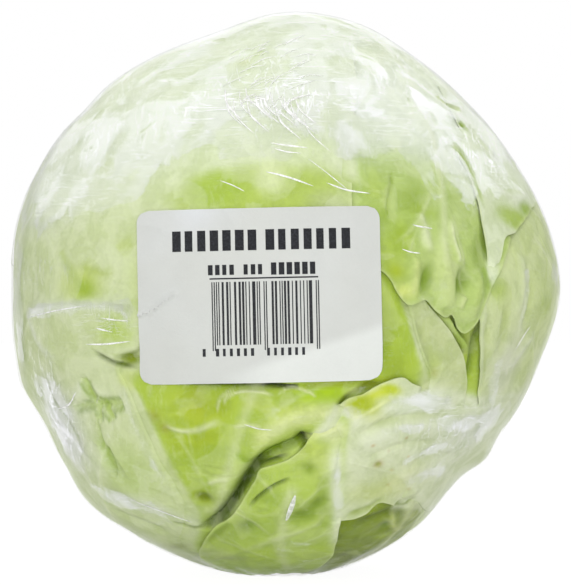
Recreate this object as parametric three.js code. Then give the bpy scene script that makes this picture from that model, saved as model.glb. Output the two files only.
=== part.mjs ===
// A white cabbage in clear film, with a blank-headed price label on its front.
//
// Frame, in millimetres: +Z up, -Y is the labelled front, +X is to the right of someone facing the
// front. The origin is on the resting surface, under the middle of the head.
//
// Every surface is measured from one head form: a ball whose outline, seen from the front, swells and
// narrows a little, flattened where it rests. The film is the form itself. Each leaf is a thin shell
// some depth under it, and leaves that overlap lie at different depths.
//
// Directions are given as [longitude, latitude] in degrees, from the middle of the head: longitude 0 is
// the front, 90 the right side, 180 the back and -90 the left side. Latitude 90 is straight up.

import * as THREE from 'three';

// ---- Driving dimensions ----

const CENTRE_HEIGHT = 88;        // middle of the head above the resting surface
const HALF_DEPTH = 84;           // middle of the head to the front and to the back

// Middle of the head to its outline, seen from the front, every 15 degrees from the right side upwards.
const OUTLINE_RADII = [
  86.2, 85.0, 82.9, 82.5, 84.2, 87.5, 88.0, 84.5, 84.8, 85.9, 86.8, 87.2,
  86.0, 87.0, 86.8, 90.4, 89.7, 89.6, 89.3, 87.5, 83.6, 79.6, 80.7, 82.5,
];

const FILM_THICKNESS = 0.4;
const FILM_OPENING_ANGLE = 4;    // polar angle of the gathered opening under the base
const FILM_FLAT_ANGLE = 8;       // polar angle out to which the film lies flat on the surface
const FILM_RINGS = 17;
const FILM_SEGMENTS = 36;

const LEAF_THICKNESS = 0.8;
const FIRST_LEAF_DEPTH = 1.6;    // outer face of the outermost leaves under the film's face
const LEAF_PITCH = 2.1;          // depth from one layer of leaves to the next
const LEAF_FACET_ANGLE = 11;     // size of a leaf's facets

const INNER_HEAD_DEPTH = 10.2;
const INNER_HEAD_RINGS = 13;
const INNER_HEAD_SEGMENTS = 26;
const INNER_HEAD_BASE = 9.5;     // height of the underside of the inner head, over the stem

const STEM_RADIUS = 14;
const STEM_TOP_RADIUS = 16;
const STEM_BOTTOM = 1.4;
const STEM_TOP = 9.0;

const LABEL_WIDTH = 70;
const LABEL_HEIGHT = 50;
const LABEL_CORNER = 3.5;
const LABEL_THICKNESS = 0.3;
const LABEL_GAP = 0.5;           // label's back face over the film's face
const LABEL_CENTRE = [-5.5, -0.5];
const LABEL_TURN = 1.2;          // degrees, its right side raised
const LABEL_COLUMNS = 12;
const LABEL_ROWS = 8;

// ---- The head form ----

const radians = THREE.MathUtils.degToRad;

function direction(longitude, latitude) {
  const across = Math.cos(radians(latitude));
  return new THREE.Vector3(
    across * Math.sin(radians(longitude)),
    -across * Math.cos(radians(longitude)),
    Math.sin(radians(latitude)),
  );
}

// The outline's radius at an angle, by a smooth closed curve through OUTLINE_RADII.
function outlineRadius(angle) {
  const count = OUTLINE_RADII.length;
  const place = (angle / (2 * Math.PI) * count + count) % count;
  const index = Math.floor(place);
  const t = place - index;
  const [a, b, c, d] = [-1, 0, 1, 2].map((step) => OUTLINE_RADII[(index + step + count) % count]);
  return b + 0.5 * t * (c - a + t * (2 * a - 5 * b + 4 * c - d + t * (3 * (b - c) + d - a)));
}

// The point of the head form in a direction, some depth under its face, and no lower than that depth
// above the resting surface.
function formPoint(toward, depth) {
  const across = Math.hypot(toward.x, toward.z);
  const outline = outlineRadius(Math.atan2(toward.z, toward.x));
  const radius = 1 / Math.hypot(across / outline, toward.y / HALF_DEPTH);
  const point = toward.clone().multiplyScalar(radius - depth);
  point.z = Math.max(point.z + CENTRE_HEIGHT, depth);
  return point;
}

// The direction part of the way along the great circle between two directions.
function between(from, to, share) {
  const angle = from.angleTo(to);
  const a = Math.sin((1 - share) * angle) / Math.sin(angle);
  const b = Math.sin(share * angle) / Math.sin(angle);
  return from.clone().multiplyScalar(a).addScaledVector(to, b);
}

// ---- Mesh helpers ----

function meshOf(name, points, faces, color, roughness, extra = {}) {
  const geometry = new THREE.BufferGeometry();
  geometry.setAttribute('position', new THREE.Float32BufferAttribute(points.flatMap((p) => p.toArray()), 3));
  geometry.setIndex(faces.flat());
  geometry.computeVertexNormals();
  const material = new THREE.MeshStandardMaterial({ color, roughness, metalness: 0, ...extra });
  const mesh = new THREE.Mesh(geometry, material);
  mesh.name = name;
  return mesh;
}

// Two triangles for each cell of the band between two closed loops of `count` points.
function bandFaces(first, second, count) {
  const faces = [];
  for (let i = 0; i < count; i += 1) {
    const next = (i + 1) % count;
    faces.push([first + i, second + i, second + next]);
    faces.push([first + i, second + next, first + next]);
  }
  return faces;
}

// A thin shell that follows the head form: a fan from its middle direction out to its margin, once for
// its outer face and once for its inner face, and a rim between them. `margin` is a closed loop of
// directions, anticlockwise seen from outside.
function shell(name, middle, margin, rings, outerDepth, innerDepth, color, roughness) {
  const count = margin.length;
  const points = [];
  const faces = [];
  const layers = [outerDepth, innerDepth];
  layers.forEach((depth, side) => {
    const hub = points.length;
    points.push(formPoint(middle, depth));
    for (let ring = 1; ring <= rings; ring += 1) {
      margin.forEach((edge) => points.push(formPoint(between(middle, edge, ring / rings), depth)));
    }
    const sheet = [];
    for (let i = 0; i < count; i += 1) {
      sheet.push([hub, hub + 1 + i, hub + 1 + (i + 1) % count]);
    }
    for (let ring = 1; ring < rings; ring += 1) {
      sheet.push(...bandFaces(hub + 1 + (ring - 1) * count, hub + 1 + ring * count, count));
    }
    faces.push(...sheet.map(([a, b, c]) => (side === 0 ? [a, b, c] : [a, c, b])));
  });
  const outerRim = 1 + (rings - 1) * count;
  const innerRim = outerRim + 1 + rings * count;
  faces.push(...bandFaces(outerRim, innerRim, count));
  return meshOf(name, points, faces, color, roughness);
}

// ---- Leaves ----

// layer 0 is the outermost. `middle` and the margin's points are [longitude, latitude].
const LEAVES = [
  {
    name: 'left_outer_leaf', layer: 0, color: 0xdde7c8, middle: [-66, 12],
    margin: [[12, -12], [14, 17], [16, 34], [22, 46], [36, 64], [140, 78], [-162, 64], [-132, 40],
      [-124, 4], [-126, -34], [-122, -62], [-90, -76], [-56, -69], [-42, -60], [-30, -50], [-28, -44],
      [-31, -30], [-34, -18], [-37, -14], [-24, -13], [-8, -10]],
  },
  {
    name: 'shoulder_leaf', layer: 0, color: 0xdce6c4, middle: [74, 34],
    margin: [[59, 46], [54, 38], [47, 33], [49, 27], [48, 18], [47, 9], [48, 3], [52, 5], [56, 10],
      [64, 14], [81, 18], [106, 8], [124, 22], [122, 48], [84, 62]],
  },
  {
    name: 'lower_front_leaf', layer: 0, color: 0xa3c25c, middle: [-2, -53],
    margin: [[7, -27], [10, -30], [13, -33], [15, -43], [18, -53], [24, -70], [6, -75], [-20, -75],
      [-36, -72], [-38, -66], [-33, -60], [-23, -53], [-15, -48], [-10, -42], [-7, -37], [-2, -35],
      [4, -33]],
  },
  {
    name: 'back_base_leaf', layer: 0, color: 0xd3e0b4, middle: [172, -42],
    margin: [[128, -30], [150, -14], [176, -8], [-160, -20], [-140, -46], [-144, -72], [178, -75],
      [132, -72], [118, -54]],
  },
  {
    name: 'pleated_leaf', layer: 1, color: 0xb2cb78, middle: [38, 36],
    margin: [[19, 2], [22, -2], [30, -1], [32, -3], [35, -5], [38, -4], [40, -7], [44, -5], [46, 1],
      [52, 8], [66, 24], [88, 50], [60, 74], [-10, 66], [2, 40], [6, 14], [12, 2]],
  },
  {
    name: 'lower_right_leaf', layer: 1, color: 0xdde6cc, middle: [42, -38],
    margin: [[12, -23], [12, -28], [13, -34], [15, -43], [19, -52], [26, -51], [31, -48], [41, -50],
      [46, -49], [58, -54], [76, -60], [94, -58], [98, -38], [72, -22], [50, -23], [35, -21], [30, -19],
      [26, -18], [20, -20]],
  },
  {
    name: 'back_right_leaf', layer: 1, color: 0xd2dfae, middle: [138, 0],
    margin: [[104, -2], [104, -36], [130, -66], [172, -62], [-166, -20], [-170, 26], [166, 48],
      [130, 42], [110, 24]],
  },
  {
    name: 'right_outer_leaf', layer: 2, color: 0xccd6bb, middle: [84, -8],
    margin: [[40, 6], [42, -1], [44, -8], [47, -18], [50, -23], [52, -42], [74, -62], [110, -66],
      [122, -30], [118, 8], [92, 30], [60, 24]],
  },
  {
    name: 'folded_leaf', layer: 2, color: 0xc6d4a8, middle: [35, -18],
    margin: [[21, 8], [24, -2], [26, -7], [29, -13], [31, -18], [33, -34], [46, -32], [44, -20],
      [42, -15], [39, -11], [33, -6], [29, -2], [25, 8]],
  },
  {
    name: 'back_left_leaf', layer: 2, color: 0xd8e3ba, middle: [-132, 2],
    margin: [[-92, 22], [-96, -20], [-100, -60], [-140, -72], [172, -52], [168, -4], [178, 42],
      [-140, 58], [-104, 48]],
  },
  {
    name: 'front_leaf', layer: 3, color: 0xa9c84e, middle: [-10, -18],
    margin: [[32, 8], [36, -14], [30, -30], [2, -44], [-22, -66], [-50, -60], [-56, -36], [-50, -6],
      [-30, 16], [0, 22]],
  },
  {
    name: 'base_right_leaf', layer: 3, color: 0x7f9440, middle: [44, -58],
    margin: [[8, -56], [24, -42], [48, -40], [76, -48], [90, -62], [78, -73], [42, -74], [8, -72]],
  },
  {
    name: 'back_crown_leaf', layer: 3, color: 0xe2ebcc, middle: [-172, 58],
    margin: [[120, 34], [160, 16], [-160, 20], [-118, 36], [-84, 60], [-20, 72], [64, 70], [96, 56]],
  },
];

// The margin is a smooth closed curve through the leaf's points, cut into even steps, and the rings of
// facets follow its farthest reach.
function buildLeaf(leaf) {
  const middle = direction(...leaf.middle);
  const stations = leaf.margin.map((place) => direction(...place));
  const curve = new THREE.CatmullRomCurve3(stations, true, 'centripetal');
  const facet = radians(LEAF_FACET_ANGLE);
  const steps = Math.max(14, Math.round(curve.getLength() / facet));
  const margin = curve.getSpacedPoints(steps).slice(0, steps).map((point) => point.normalize());
  const turn = new THREE.Vector3().crossVectors(margin[0], margin[1]).dot(middle);
  if (turn < 0) {
    margin.reverse();
  }
  const reach = Math.max(...margin.map((edge) => middle.angleTo(edge)));
  const rings = Math.max(3, Math.round(reach / facet));
  const depth = FIRST_LEAF_DEPTH + leaf.layer * LEAF_PITCH;
  return shell(leaf.name, middle, margin, rings, depth, depth + LEAF_THICKNESS, leaf.color, 0.45);
}

// ---- Inner head and stem ----

function buildInnerHead() {
  const points = [formPoint(direction(0, 90), INNER_HEAD_DEPTH)];
  const faces = [];
  for (let ring = 1; ring <= INNER_HEAD_RINGS; ring += 1) {
    const latitude = 90 - 180 * ring / (INNER_HEAD_RINGS + 1);
    for (let i = 0; i < INNER_HEAD_SEGMENTS; i += 1) {
      const point = formPoint(direction(360 * i / INNER_HEAD_SEGMENTS, latitude), INNER_HEAD_DEPTH);
      point.z = Math.max(point.z, INNER_HEAD_BASE);
      points.push(point);
    }
  }
  for (let i = 0; i < INNER_HEAD_SEGMENTS; i += 1) {
    faces.push([0, 1 + i, 1 + (i + 1) % INNER_HEAD_SEGMENTS]);
  }
  for (let ring = 1; ring < INNER_HEAD_RINGS; ring += 1) {
    const first = 1 + (ring - 1) * INNER_HEAD_SEGMENTS;
    faces.push(...bandFaces(first, first + INNER_HEAD_SEGMENTS, INNER_HEAD_SEGMENTS));
  }
  const bottom = points.length;
  const last = bottom - INNER_HEAD_SEGMENTS;
  points.push(new THREE.Vector3(0, 0, INNER_HEAD_BASE));
  for (let i = 0; i < INNER_HEAD_SEGMENTS; i += 1) {
    faces.push([bottom, last + (i + 1) % INNER_HEAD_SEGMENTS, last + i]);
  }
  return meshOf('inner_head', points, faces, 0xb9cc7c, 0.5);
}

function buildStem() {
  const profile = [
    new THREE.Vector2(0, STEM_BOTTOM),
    new THREE.Vector2(STEM_RADIUS - 1.5, STEM_BOTTOM),
    new THREE.Vector2(STEM_RADIUS, STEM_BOTTOM + 1.5),
    new THREE.Vector2(STEM_TOP_RADIUS, STEM_TOP),
    new THREE.Vector2(0, STEM_TOP),
  ];
  const geometry = new THREE.LatheGeometry(profile, 24).rotateX(Math.PI / 2);
  const mesh = new THREE.Mesh(geometry, new THREE.MeshStandardMaterial({ color: 0xe4e2bf, roughness: 0.7 }));
  mesh.name = 'cut_stem';
  return mesh;
}

// ---- Film and label ----

// One sheet drawn round the head: an outer and an inner face that meet at the gathered opening.
function buildFilm() {
  const polarAngles = [FILM_OPENING_ANGLE, FILM_FLAT_ANGLE];
  const step = (180 - FILM_FLAT_ANGLE) / FILM_RINGS;
  for (let ring = 1; ring < FILM_RINGS; ring += 1) {
    polarAngles.push(FILM_FLAT_ANGLE + ring * step);
  }
  const points = [];
  const faces = [];
  const depths = [0, FILM_THICKNESS];
  depths.forEach((depth, side) => {
    const start = points.length;
    polarAngles.forEach((polar) => {
      for (let i = 0; i < FILM_SEGMENTS; i += 1) {
        points.push(formPoint(direction(360 * i / FILM_SEGMENTS, polar - 90), depth));
      }
    });
    const top = points.length;
    points.push(formPoint(direction(0, 90), depth));
    const sheet = [];
    for (let ring = 1; ring < polarAngles.length; ring += 1) {
      const upper = start + ring * FILM_SEGMENTS;
      sheet.push(...bandFaces(upper, upper - FILM_SEGMENTS, FILM_SEGMENTS));
    }
    for (let i = 0; i < FILM_SEGMENTS; i += 1) {
      sheet.push([top, top - FILM_SEGMENTS + i, top - FILM_SEGMENTS + (i + 1) % FILM_SEGMENTS]);
    }
    faces.push(...sheet.map(([a, b, c]) => (side === 0 ? [a, b, c] : [a, c, b])));
  });
  const innerStart = 1 + polarAngles.length * FILM_SEGMENTS;
  faces.push(...bandFaces(0, innerStart, FILM_SEGMENTS));
  return meshOf('film_wrap', points, faces, 0xf2f5f2, 0.1, { transparent: true, opacity: 0.3 });
}

// The label follows the film: a flat grid with rounded corners, bent round the head.
function buildLabel() {
  const middle = direction(...LABEL_CENTRE);
  const up = new THREE.Vector3(0, 0, 1).projectOnPlane(middle).normalize();
  const right = new THREE.Vector3().crossVectors(middle, up).negate();
  const turn = radians(LABEL_TURN);
  const across = right.clone().multiplyScalar(Math.cos(turn)).addScaledVector(up, Math.sin(turn));
  const upward = up.clone().multiplyScalar(Math.cos(turn)).addScaledVector(right, -Math.sin(turn));
  const half = { x: LABEL_WIDTH / 2, y: LABEL_HEIGHT / 2 };
  const toward = (x, y) => {
    const angle = Math.hypot(x, y) / HALF_DEPTH;
    const side = across.clone().multiplyScalar(x).addScaledVector(upward, y).normalize();
    return middle.clone().multiplyScalar(Math.cos(angle)).addScaledVector(side, Math.sin(angle));
  };
  const outline = new THREE.Shape();
  outline.moveTo(-half.x + LABEL_CORNER, -half.y);
  outline.lineTo(half.x - LABEL_CORNER, -half.y);
  outline.absarc(half.x - LABEL_CORNER, -half.y + LABEL_CORNER, LABEL_CORNER, -Math.PI / 2, 0);
  outline.lineTo(half.x, half.y - LABEL_CORNER);
  outline.absarc(half.x - LABEL_CORNER, half.y - LABEL_CORNER, LABEL_CORNER, 0, Math.PI / 2);
  outline.lineTo(-half.x + LABEL_CORNER, half.y);
  outline.absarc(-half.x + LABEL_CORNER, half.y - LABEL_CORNER, LABEL_CORNER, Math.PI / 2, Math.PI);
  outline.lineTo(-half.x, -half.y + LABEL_CORNER);
  outline.absarc(-half.x + LABEL_CORNER, -half.y + LABEL_CORNER, LABEL_CORNER, Math.PI, 1.5 * Math.PI);
  const edge = [];
  outline.curves.forEach((curve) => {
    const straight = curve instanceof THREE.LineCurve;
    const steps = straight ? Math.round(curve.getLength() / (LABEL_WIDTH / LABEL_COLUMNS)) : 3;
    edge.push(...curve.getSpacedPoints(steps).slice(0, steps));
  });
  const margin = edge.map(({ x, y }) => toward(x, y));
  const depth = -LABEL_GAP - LABEL_THICKNESS;
  return shell('price_label', toward(0, 0), margin, LABEL_ROWS / 2 + 1, depth, -LABEL_GAP, 0xe2e5e1, 0.55);
}

// ---- Assembly ----

const cabbage = new THREE.Group();
cabbage.name = 'wrapped_cabbage';
cabbage.add(buildInnerHead(), buildStem(), ...LEAVES.map(buildLeaf), buildFilm(), buildLabel());

export default cabbage;
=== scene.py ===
"""The looks of a white cabbage wrapped in clear film, with a paper price label on its front.

The head stands on its base and faces -Y. Places on it are given as (longitude, latitude) in degrees from
the middle of the head: longitude 0 is the front, 90 the right side, 180 the back, -90 the left side, and
latitude 90 is straight up. Sizes of folds, veins and marks are in millimetres, and Blender's are in metres.
"""

import functools
import itertools
import logging
import math
from collections.abc import Callable
from dataclasses import dataclass
from enum import Enum

import bpy
import numpy as np
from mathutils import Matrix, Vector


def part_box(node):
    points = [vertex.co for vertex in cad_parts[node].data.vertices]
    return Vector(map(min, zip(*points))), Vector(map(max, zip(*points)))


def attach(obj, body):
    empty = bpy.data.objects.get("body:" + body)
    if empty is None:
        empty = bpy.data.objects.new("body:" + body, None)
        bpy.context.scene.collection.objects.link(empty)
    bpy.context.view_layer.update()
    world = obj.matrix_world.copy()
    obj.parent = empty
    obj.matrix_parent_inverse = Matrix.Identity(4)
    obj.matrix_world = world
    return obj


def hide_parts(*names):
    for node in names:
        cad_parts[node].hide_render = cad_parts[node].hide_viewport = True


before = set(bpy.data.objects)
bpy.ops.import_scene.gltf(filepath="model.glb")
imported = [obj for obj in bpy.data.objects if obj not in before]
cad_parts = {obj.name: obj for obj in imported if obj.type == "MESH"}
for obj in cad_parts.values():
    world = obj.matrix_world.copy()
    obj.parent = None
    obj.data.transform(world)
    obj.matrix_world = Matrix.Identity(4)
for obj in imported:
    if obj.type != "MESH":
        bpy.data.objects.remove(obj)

log = logging.getLogger("cabbage")

MM = 0.001
BODY = "root"

Array = np.ndarray
Object = bpy.types.Object
Material = bpy.types.Material
Socket = bpy.types.NodeSocket
Pair = tuple[float, float]
Triple = tuple[float, float, float]
Place = Pair
Path = tuple[Place, ...]
Colour = tuple[int, int, int]


# ---- Directions, curves and noise ----


def direction(place: Place) -> Array:
    """The unit vector from the middle of the head towards a place."""
    lon, lat = np.radians(place)
    return np.array([math.cos(lat) * math.sin(lon), -math.cos(lat) * math.cos(lon), math.sin(lat)])


def curve_point(a: Array, b: Array, c: Array, d: Array, t: float | Array) -> Array:
    """The point a share t of the way from b to c, on the smooth curve through a, b, c and d."""
    return b + 0.5 * t * (c - a + t * (2 * a - 5 * b + 4 * c - d + t * (3 * (b - c) + d - a)))


def smooth_path(places: Path, closed: bool = False, steps: int = 8) -> Array:
    """A smooth curve of directions through places.

    Args:
        places: The places that it passes through.
        closed: Whether it comes back to its first place.
        steps: How many pieces each stretch between two places is cut into.

    Returns:
        One unit vector a row.
    """
    knots = np.array([direction(place) for place in places])
    count = len(knots)
    rows = []
    for i in range(count if closed else count - 1):
        picks = np.arange(i - 1, i + 3)
        corners = knots[picks % count if closed else np.clip(picks, 0, count - 1)]
        rows += [curve_point(*corners, t) for t in np.arange(steps) / steps]
    if not closed:
        rows.append(knots[-1])
    path = np.array(rows)
    return path / np.linalg.norm(path, axis=1, keepdims=True)


def smoothstep(low: float, high: float, values: Array) -> Array:
    """0 below low, 1 above high, and a smooth rise between."""
    share = np.clip((values - low) / (high - low), 0, 1)
    return share * share * (3 - 2 * share)


def bell(values: Array, reach: float | Array) -> Array:
    """1 at 0, and a soft fall on both sides that is nearly over at twice the reach."""
    return np.exp(-((values / reach) ** 2))


def linear(colour: Colour) -> Array:
    """The linear value of a colour given in 0 to 255."""
    share = np.array(colour) / 255
    return np.where(share <= 0.04045, share / 12.92, ((share + 0.055) / 1.055) ** 2.4)


def laid_over(under: Array, colour: Array, share: Array) -> Array:
    """Colours, one a row, with some share of another laid over each."""
    return under * (1 - share[:, None]) + colour * share[:, None]


class Lumps:
    """Smooth noise in space, the same on each run."""

    CELLS = 16

    def __init__(self, seed: int) -> None:
        """Fills the lattice from a seed."""
        self.knots = np.random.default_rng(seed).uniform(-1, 1, (self.CELLS,) * 3)

    def at(self, points: Array, size: float) -> Array:
        """The noise at points.

        Args:
            points: One point a row.
            size: How far apart its lumps are, in the points' unit.

        Returns:
            Values from -1 to 1.
        """
        place = points / size
        cell = np.floor(place).astype(int)
        part = place - cell
        part = part * part * (3 - 2 * part)
        total = np.zeros(len(points))
        for corner in itertools.product((0, 1), repeat=3):
            weight = np.prod(np.where(corner, part, 1 - part), axis=1)
            total += weight * self.knots[tuple(((cell + corner) % self.CELLS).T)]
        return total


# ---- The head's form ----


@dataclass(frozen=True)
class HeadForm:
    """The ball that every surface is measured from, flattened where it rests. Its sizes are in metres."""

    centre: float
    half_depth: float
    outline: tuple[float, ...]
    bumps: tuple[tuple["Spot", float], ...] = ()

    def radius(self, ways: Array) -> Array:
        """How far the form's face is from its middle, in each direction."""
        across = np.hypot(ways[:, 0], ways[:, 2])
        count = len(self.outline)
        place = np.arctan2(ways[:, 2], ways[:, 0]) / (2 * math.pi) * count % count
        index = place.astype(int)
        t = place - index
        radii = np.array(self.outline)
        edge = curve_point(*(radii[(index + step) % count] for step in (-1, 0, 1, 2)), t)
        radius = 1 / np.hypot(across / edge, ways[:, 1] / self.half_depth)
        for spot, rise in self.bumps:
            radius += rise * MM * spot.weight(ways)
        return radius

    def points(self, ways: Array, rise: Array) -> Array:
        """The points some rise (m) over the form's face, kept above the surface that it rests on."""
        points = ways * (self.radius(ways) + rise)[:, None]
        points[:, 2] = np.maximum(points[:, 2] + self.centre, np.maximum(-rise, 0))
        return points


FILM_LOW, FILM_HIGH = (np.array(corner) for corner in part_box("film_wrap"))
LABEL_LOW, LABEL_HIGH = (np.array(corner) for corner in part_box("price_label"))
HALF_DEPTH = (FILM_HIGH[1] - FILM_LOW[1]) / 2
ARC_MM = HALF_DEPTH / MM  # millimetres along the surface for one radian

# ---- Marks: lines and spots that raise, hollow or colour a surface ----


class Side(Enum):
    """Which side of a line its slope is on: the other side is steep."""

    BOTH = 0
    LEFT = 1
    RIGHT = -1


@dataclass(frozen=True)
class Line:
    """A crease, ridge, vein or stain along a path. Width is its half width in millimetres."""

    path: Path
    width: float
    side: Side = Side.BOTH
    fade: float = 0.25
    edge: float = 2.0

    STEPS = 5  # pieces in each stretch between two of its places
    END = 2.6  # widths away where nothing of it is left
    STEEP = 0.25  # the steep side's width, as a share of the sloped side's
    FAR = 9.0  # further than any two directions are apart

    @staticmethod
    def close_to(ways: Array, path: Array, margin: float) -> Array:
        """Which directions are in the round that holds a path and a margin around it."""
        middle = path.mean(axis=0)
        middle /= np.linalg.norm(middle)
        spread = np.arccos(np.clip(path @ middle, -1, 1)).max() + margin
        return np.flatnonzero(ways @ middle > math.cos(min(spread, math.pi)))

    def weight(self, ways: Array, wider: float = 1.0) -> Array:
        """How much of the mark is at each direction, from 0 to 1."""
        path = smooth_path(self.path, steps=self.STEPS)
        reach = self.width * wider
        end = self.END * reach / ARC_MM
        pieces = len(path) - 1
        best = np.full(len(ways), self.FAR)
        along = np.zeros(len(ways))
        sign = np.ones(len(ways))
        around = self.close_to(ways, path, end)
        for first in range(0, pieces, self.STEPS):
            stretch = range(first, min(first + self.STEPS, pieces))
            near = around[self.close_to(ways[around], path[first:first + self.STEPS + 1], end)]
            points = ways[near]
            for i in stretch if len(near) else ():
                start, step = path[i], path[i + 1] - path[i]
                share = np.clip((points - start) @ step / (step @ step), 0, 1)
                off = points - start - share[:, None] * step
                distance = np.sqrt(np.einsum("ij,ij->i", off, off))
                closer = distance < best[near]
                picked = near[closer]
                best[picked] = distance[closer]
                along[picked] = (i + share[closer]) / pieces
                sign[picked] = np.sign(off[closer] @ np.cross(start, step))
        touched = np.flatnonzero(best < self.FAR)
        result = np.zeros(len(ways))
        if not len(touched):
            return result
        millimetres, along, sign = best[touched] * ARC_MM, along[touched], sign[touched]
        if self.side is Side.BOTH:
            profile = np.exp(-((millimetres / reach) ** self.edge))
        else:
            steep = sign * self.side.value < 0
            profile = bell(millimetres, np.where(steep, reach * self.STEEP, reach))
        ends = np.minimum(along, 1 - along)
        if self.fade:
            profile = profile * smoothstep(0, self.fade, ends)
        result[touched] = profile
        return result


@dataclass(frozen=True)
class Spot:
    """A round or oval mark. Size is its half width and half height in millimetres, turn is in degrees."""

    place: Place
    size: Pair
    turn: float = 0.0
    edge: float = 2.0

    def weight(self, ways: Array, wider: float = 1.0) -> Array:
        """How much of the mark is at each direction, from 0 to 1. A larger edge is a crisper mark."""
        middle = direction(self.place)
        right = np.cross([0.0, 0.0, 1.0], middle)
        right = -right / np.linalg.norm(right)
        up = np.cross(right, middle)
        cosine, sine = math.cos(math.radians(self.turn)), math.sin(math.radians(self.turn))
        x, y = ways @ right * ARC_MM, ways @ up * ARC_MM
        across = (x * cosine + y * sine) / (self.size[0] * wider)
        along = (y * cosine - x * sine) / (self.size[1] * wider)
        weight = np.exp(-(np.hypot(across, along) ** self.edge))
        return np.where(ways @ middle > 0, weight, 0)


# Middle of the head to its outline, seen from the front, every 15 degrees from the right side upwards.
OUTLINE_MM = (
    86.2, 85.0, 82.9, 82.5, 84.2, 87.5, 88.0, 84.5, 84.8, 85.9, 86.8, 87.2,
    86.0, 87.0, 86.8, 90.4, 89.7, 89.6, 89.3, 87.5, 83.6, 79.6, 80.7, 82.5,
)
TOP_MM = OUTLINE_MM[6]
FORM = HeadForm(
    centre=FILM_HIGH[2] - TOP_MM * MM,
    half_depth=HALF_DEPTH,
    outline=tuple(radius * MM for radius in OUTLINE_MM),
    bumps=(
        (Spot((88, -40), (22, 6.5), 0, 2), 2.3), (Spot((-88, -20), (22, 8), 0, 2), 1.2),
        (Spot((-86, -39), (20, 7), 0, 2), -1.1), (Spot((-84, 42), (22, 8), 0, 2), -1.0),
        (Spot((82, -62), (22, 9), 0, 2), 0.8),
    ),
)


@dataclass(frozen=True)
class Mark:
    """What a line or a spot does to a leaf.

    Rise is in millimetres, negative for a hollow. The film over it follows a share of it.
    """

    shape: Line | Spot
    rise: float = 0.0
    colour: Colour | None = None
    strength: float = 1.0
    film: float = 0.25


# ---- Shader building ----


def operator(operation: str, reflected: bool = False) -> Callable[["Value", "Value | float"], "Value"]:
    """A method that adds one Math node.

    Args:
        operation: What the node does.
        reflected: Whether the value that has the method goes in last.

    Returns:
        The method, for a Value and what it is used with.
    """
    def method(value: "Value", other: "Value | float") -> "Value":
        """The result of the node."""
        first, second = (other, value) if reflected else (value, other)
        return value.shader.value("ShaderNodeMath", {"operation": operation}, {0: first, 1: second})

    return method


class Value:
    """A number that varies over a surface. Arithmetic on it adds Math nodes."""

    def __init__(self, shader: "Shader", socket: Socket) -> None:
        """Wraps an output socket."""
        self.shader = shader
        self.socket = socket

    __add__, __radd__ = operator("ADD"), operator("ADD", True)
    __sub__, __rsub__ = operator("SUBTRACT"), operator("SUBTRACT", True)
    __mul__, __rmul__ = operator("MULTIPLY"), operator("MULTIPLY", True)
    __truediv__, __pow__ = operator("DIVIDE"), operator("POWER")
    at_most, at_least = operator("MINIMUM"), operator("MAXIMUM")

    def ramp(self, low: float, high: float, out_low: float = 0.0, out_high: float = 1.0) -> "Value":
        """This carried smoothly from one range to another, and held at its ends."""
        return self.shader.value(
            "ShaderNodeMapRange",
            {"interpolation_type": "SMOOTHSTEP"},
            {"Value": self, "From Min": low, "From Max": high, "To Min": out_low, "To Max": out_high},
        )


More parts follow.
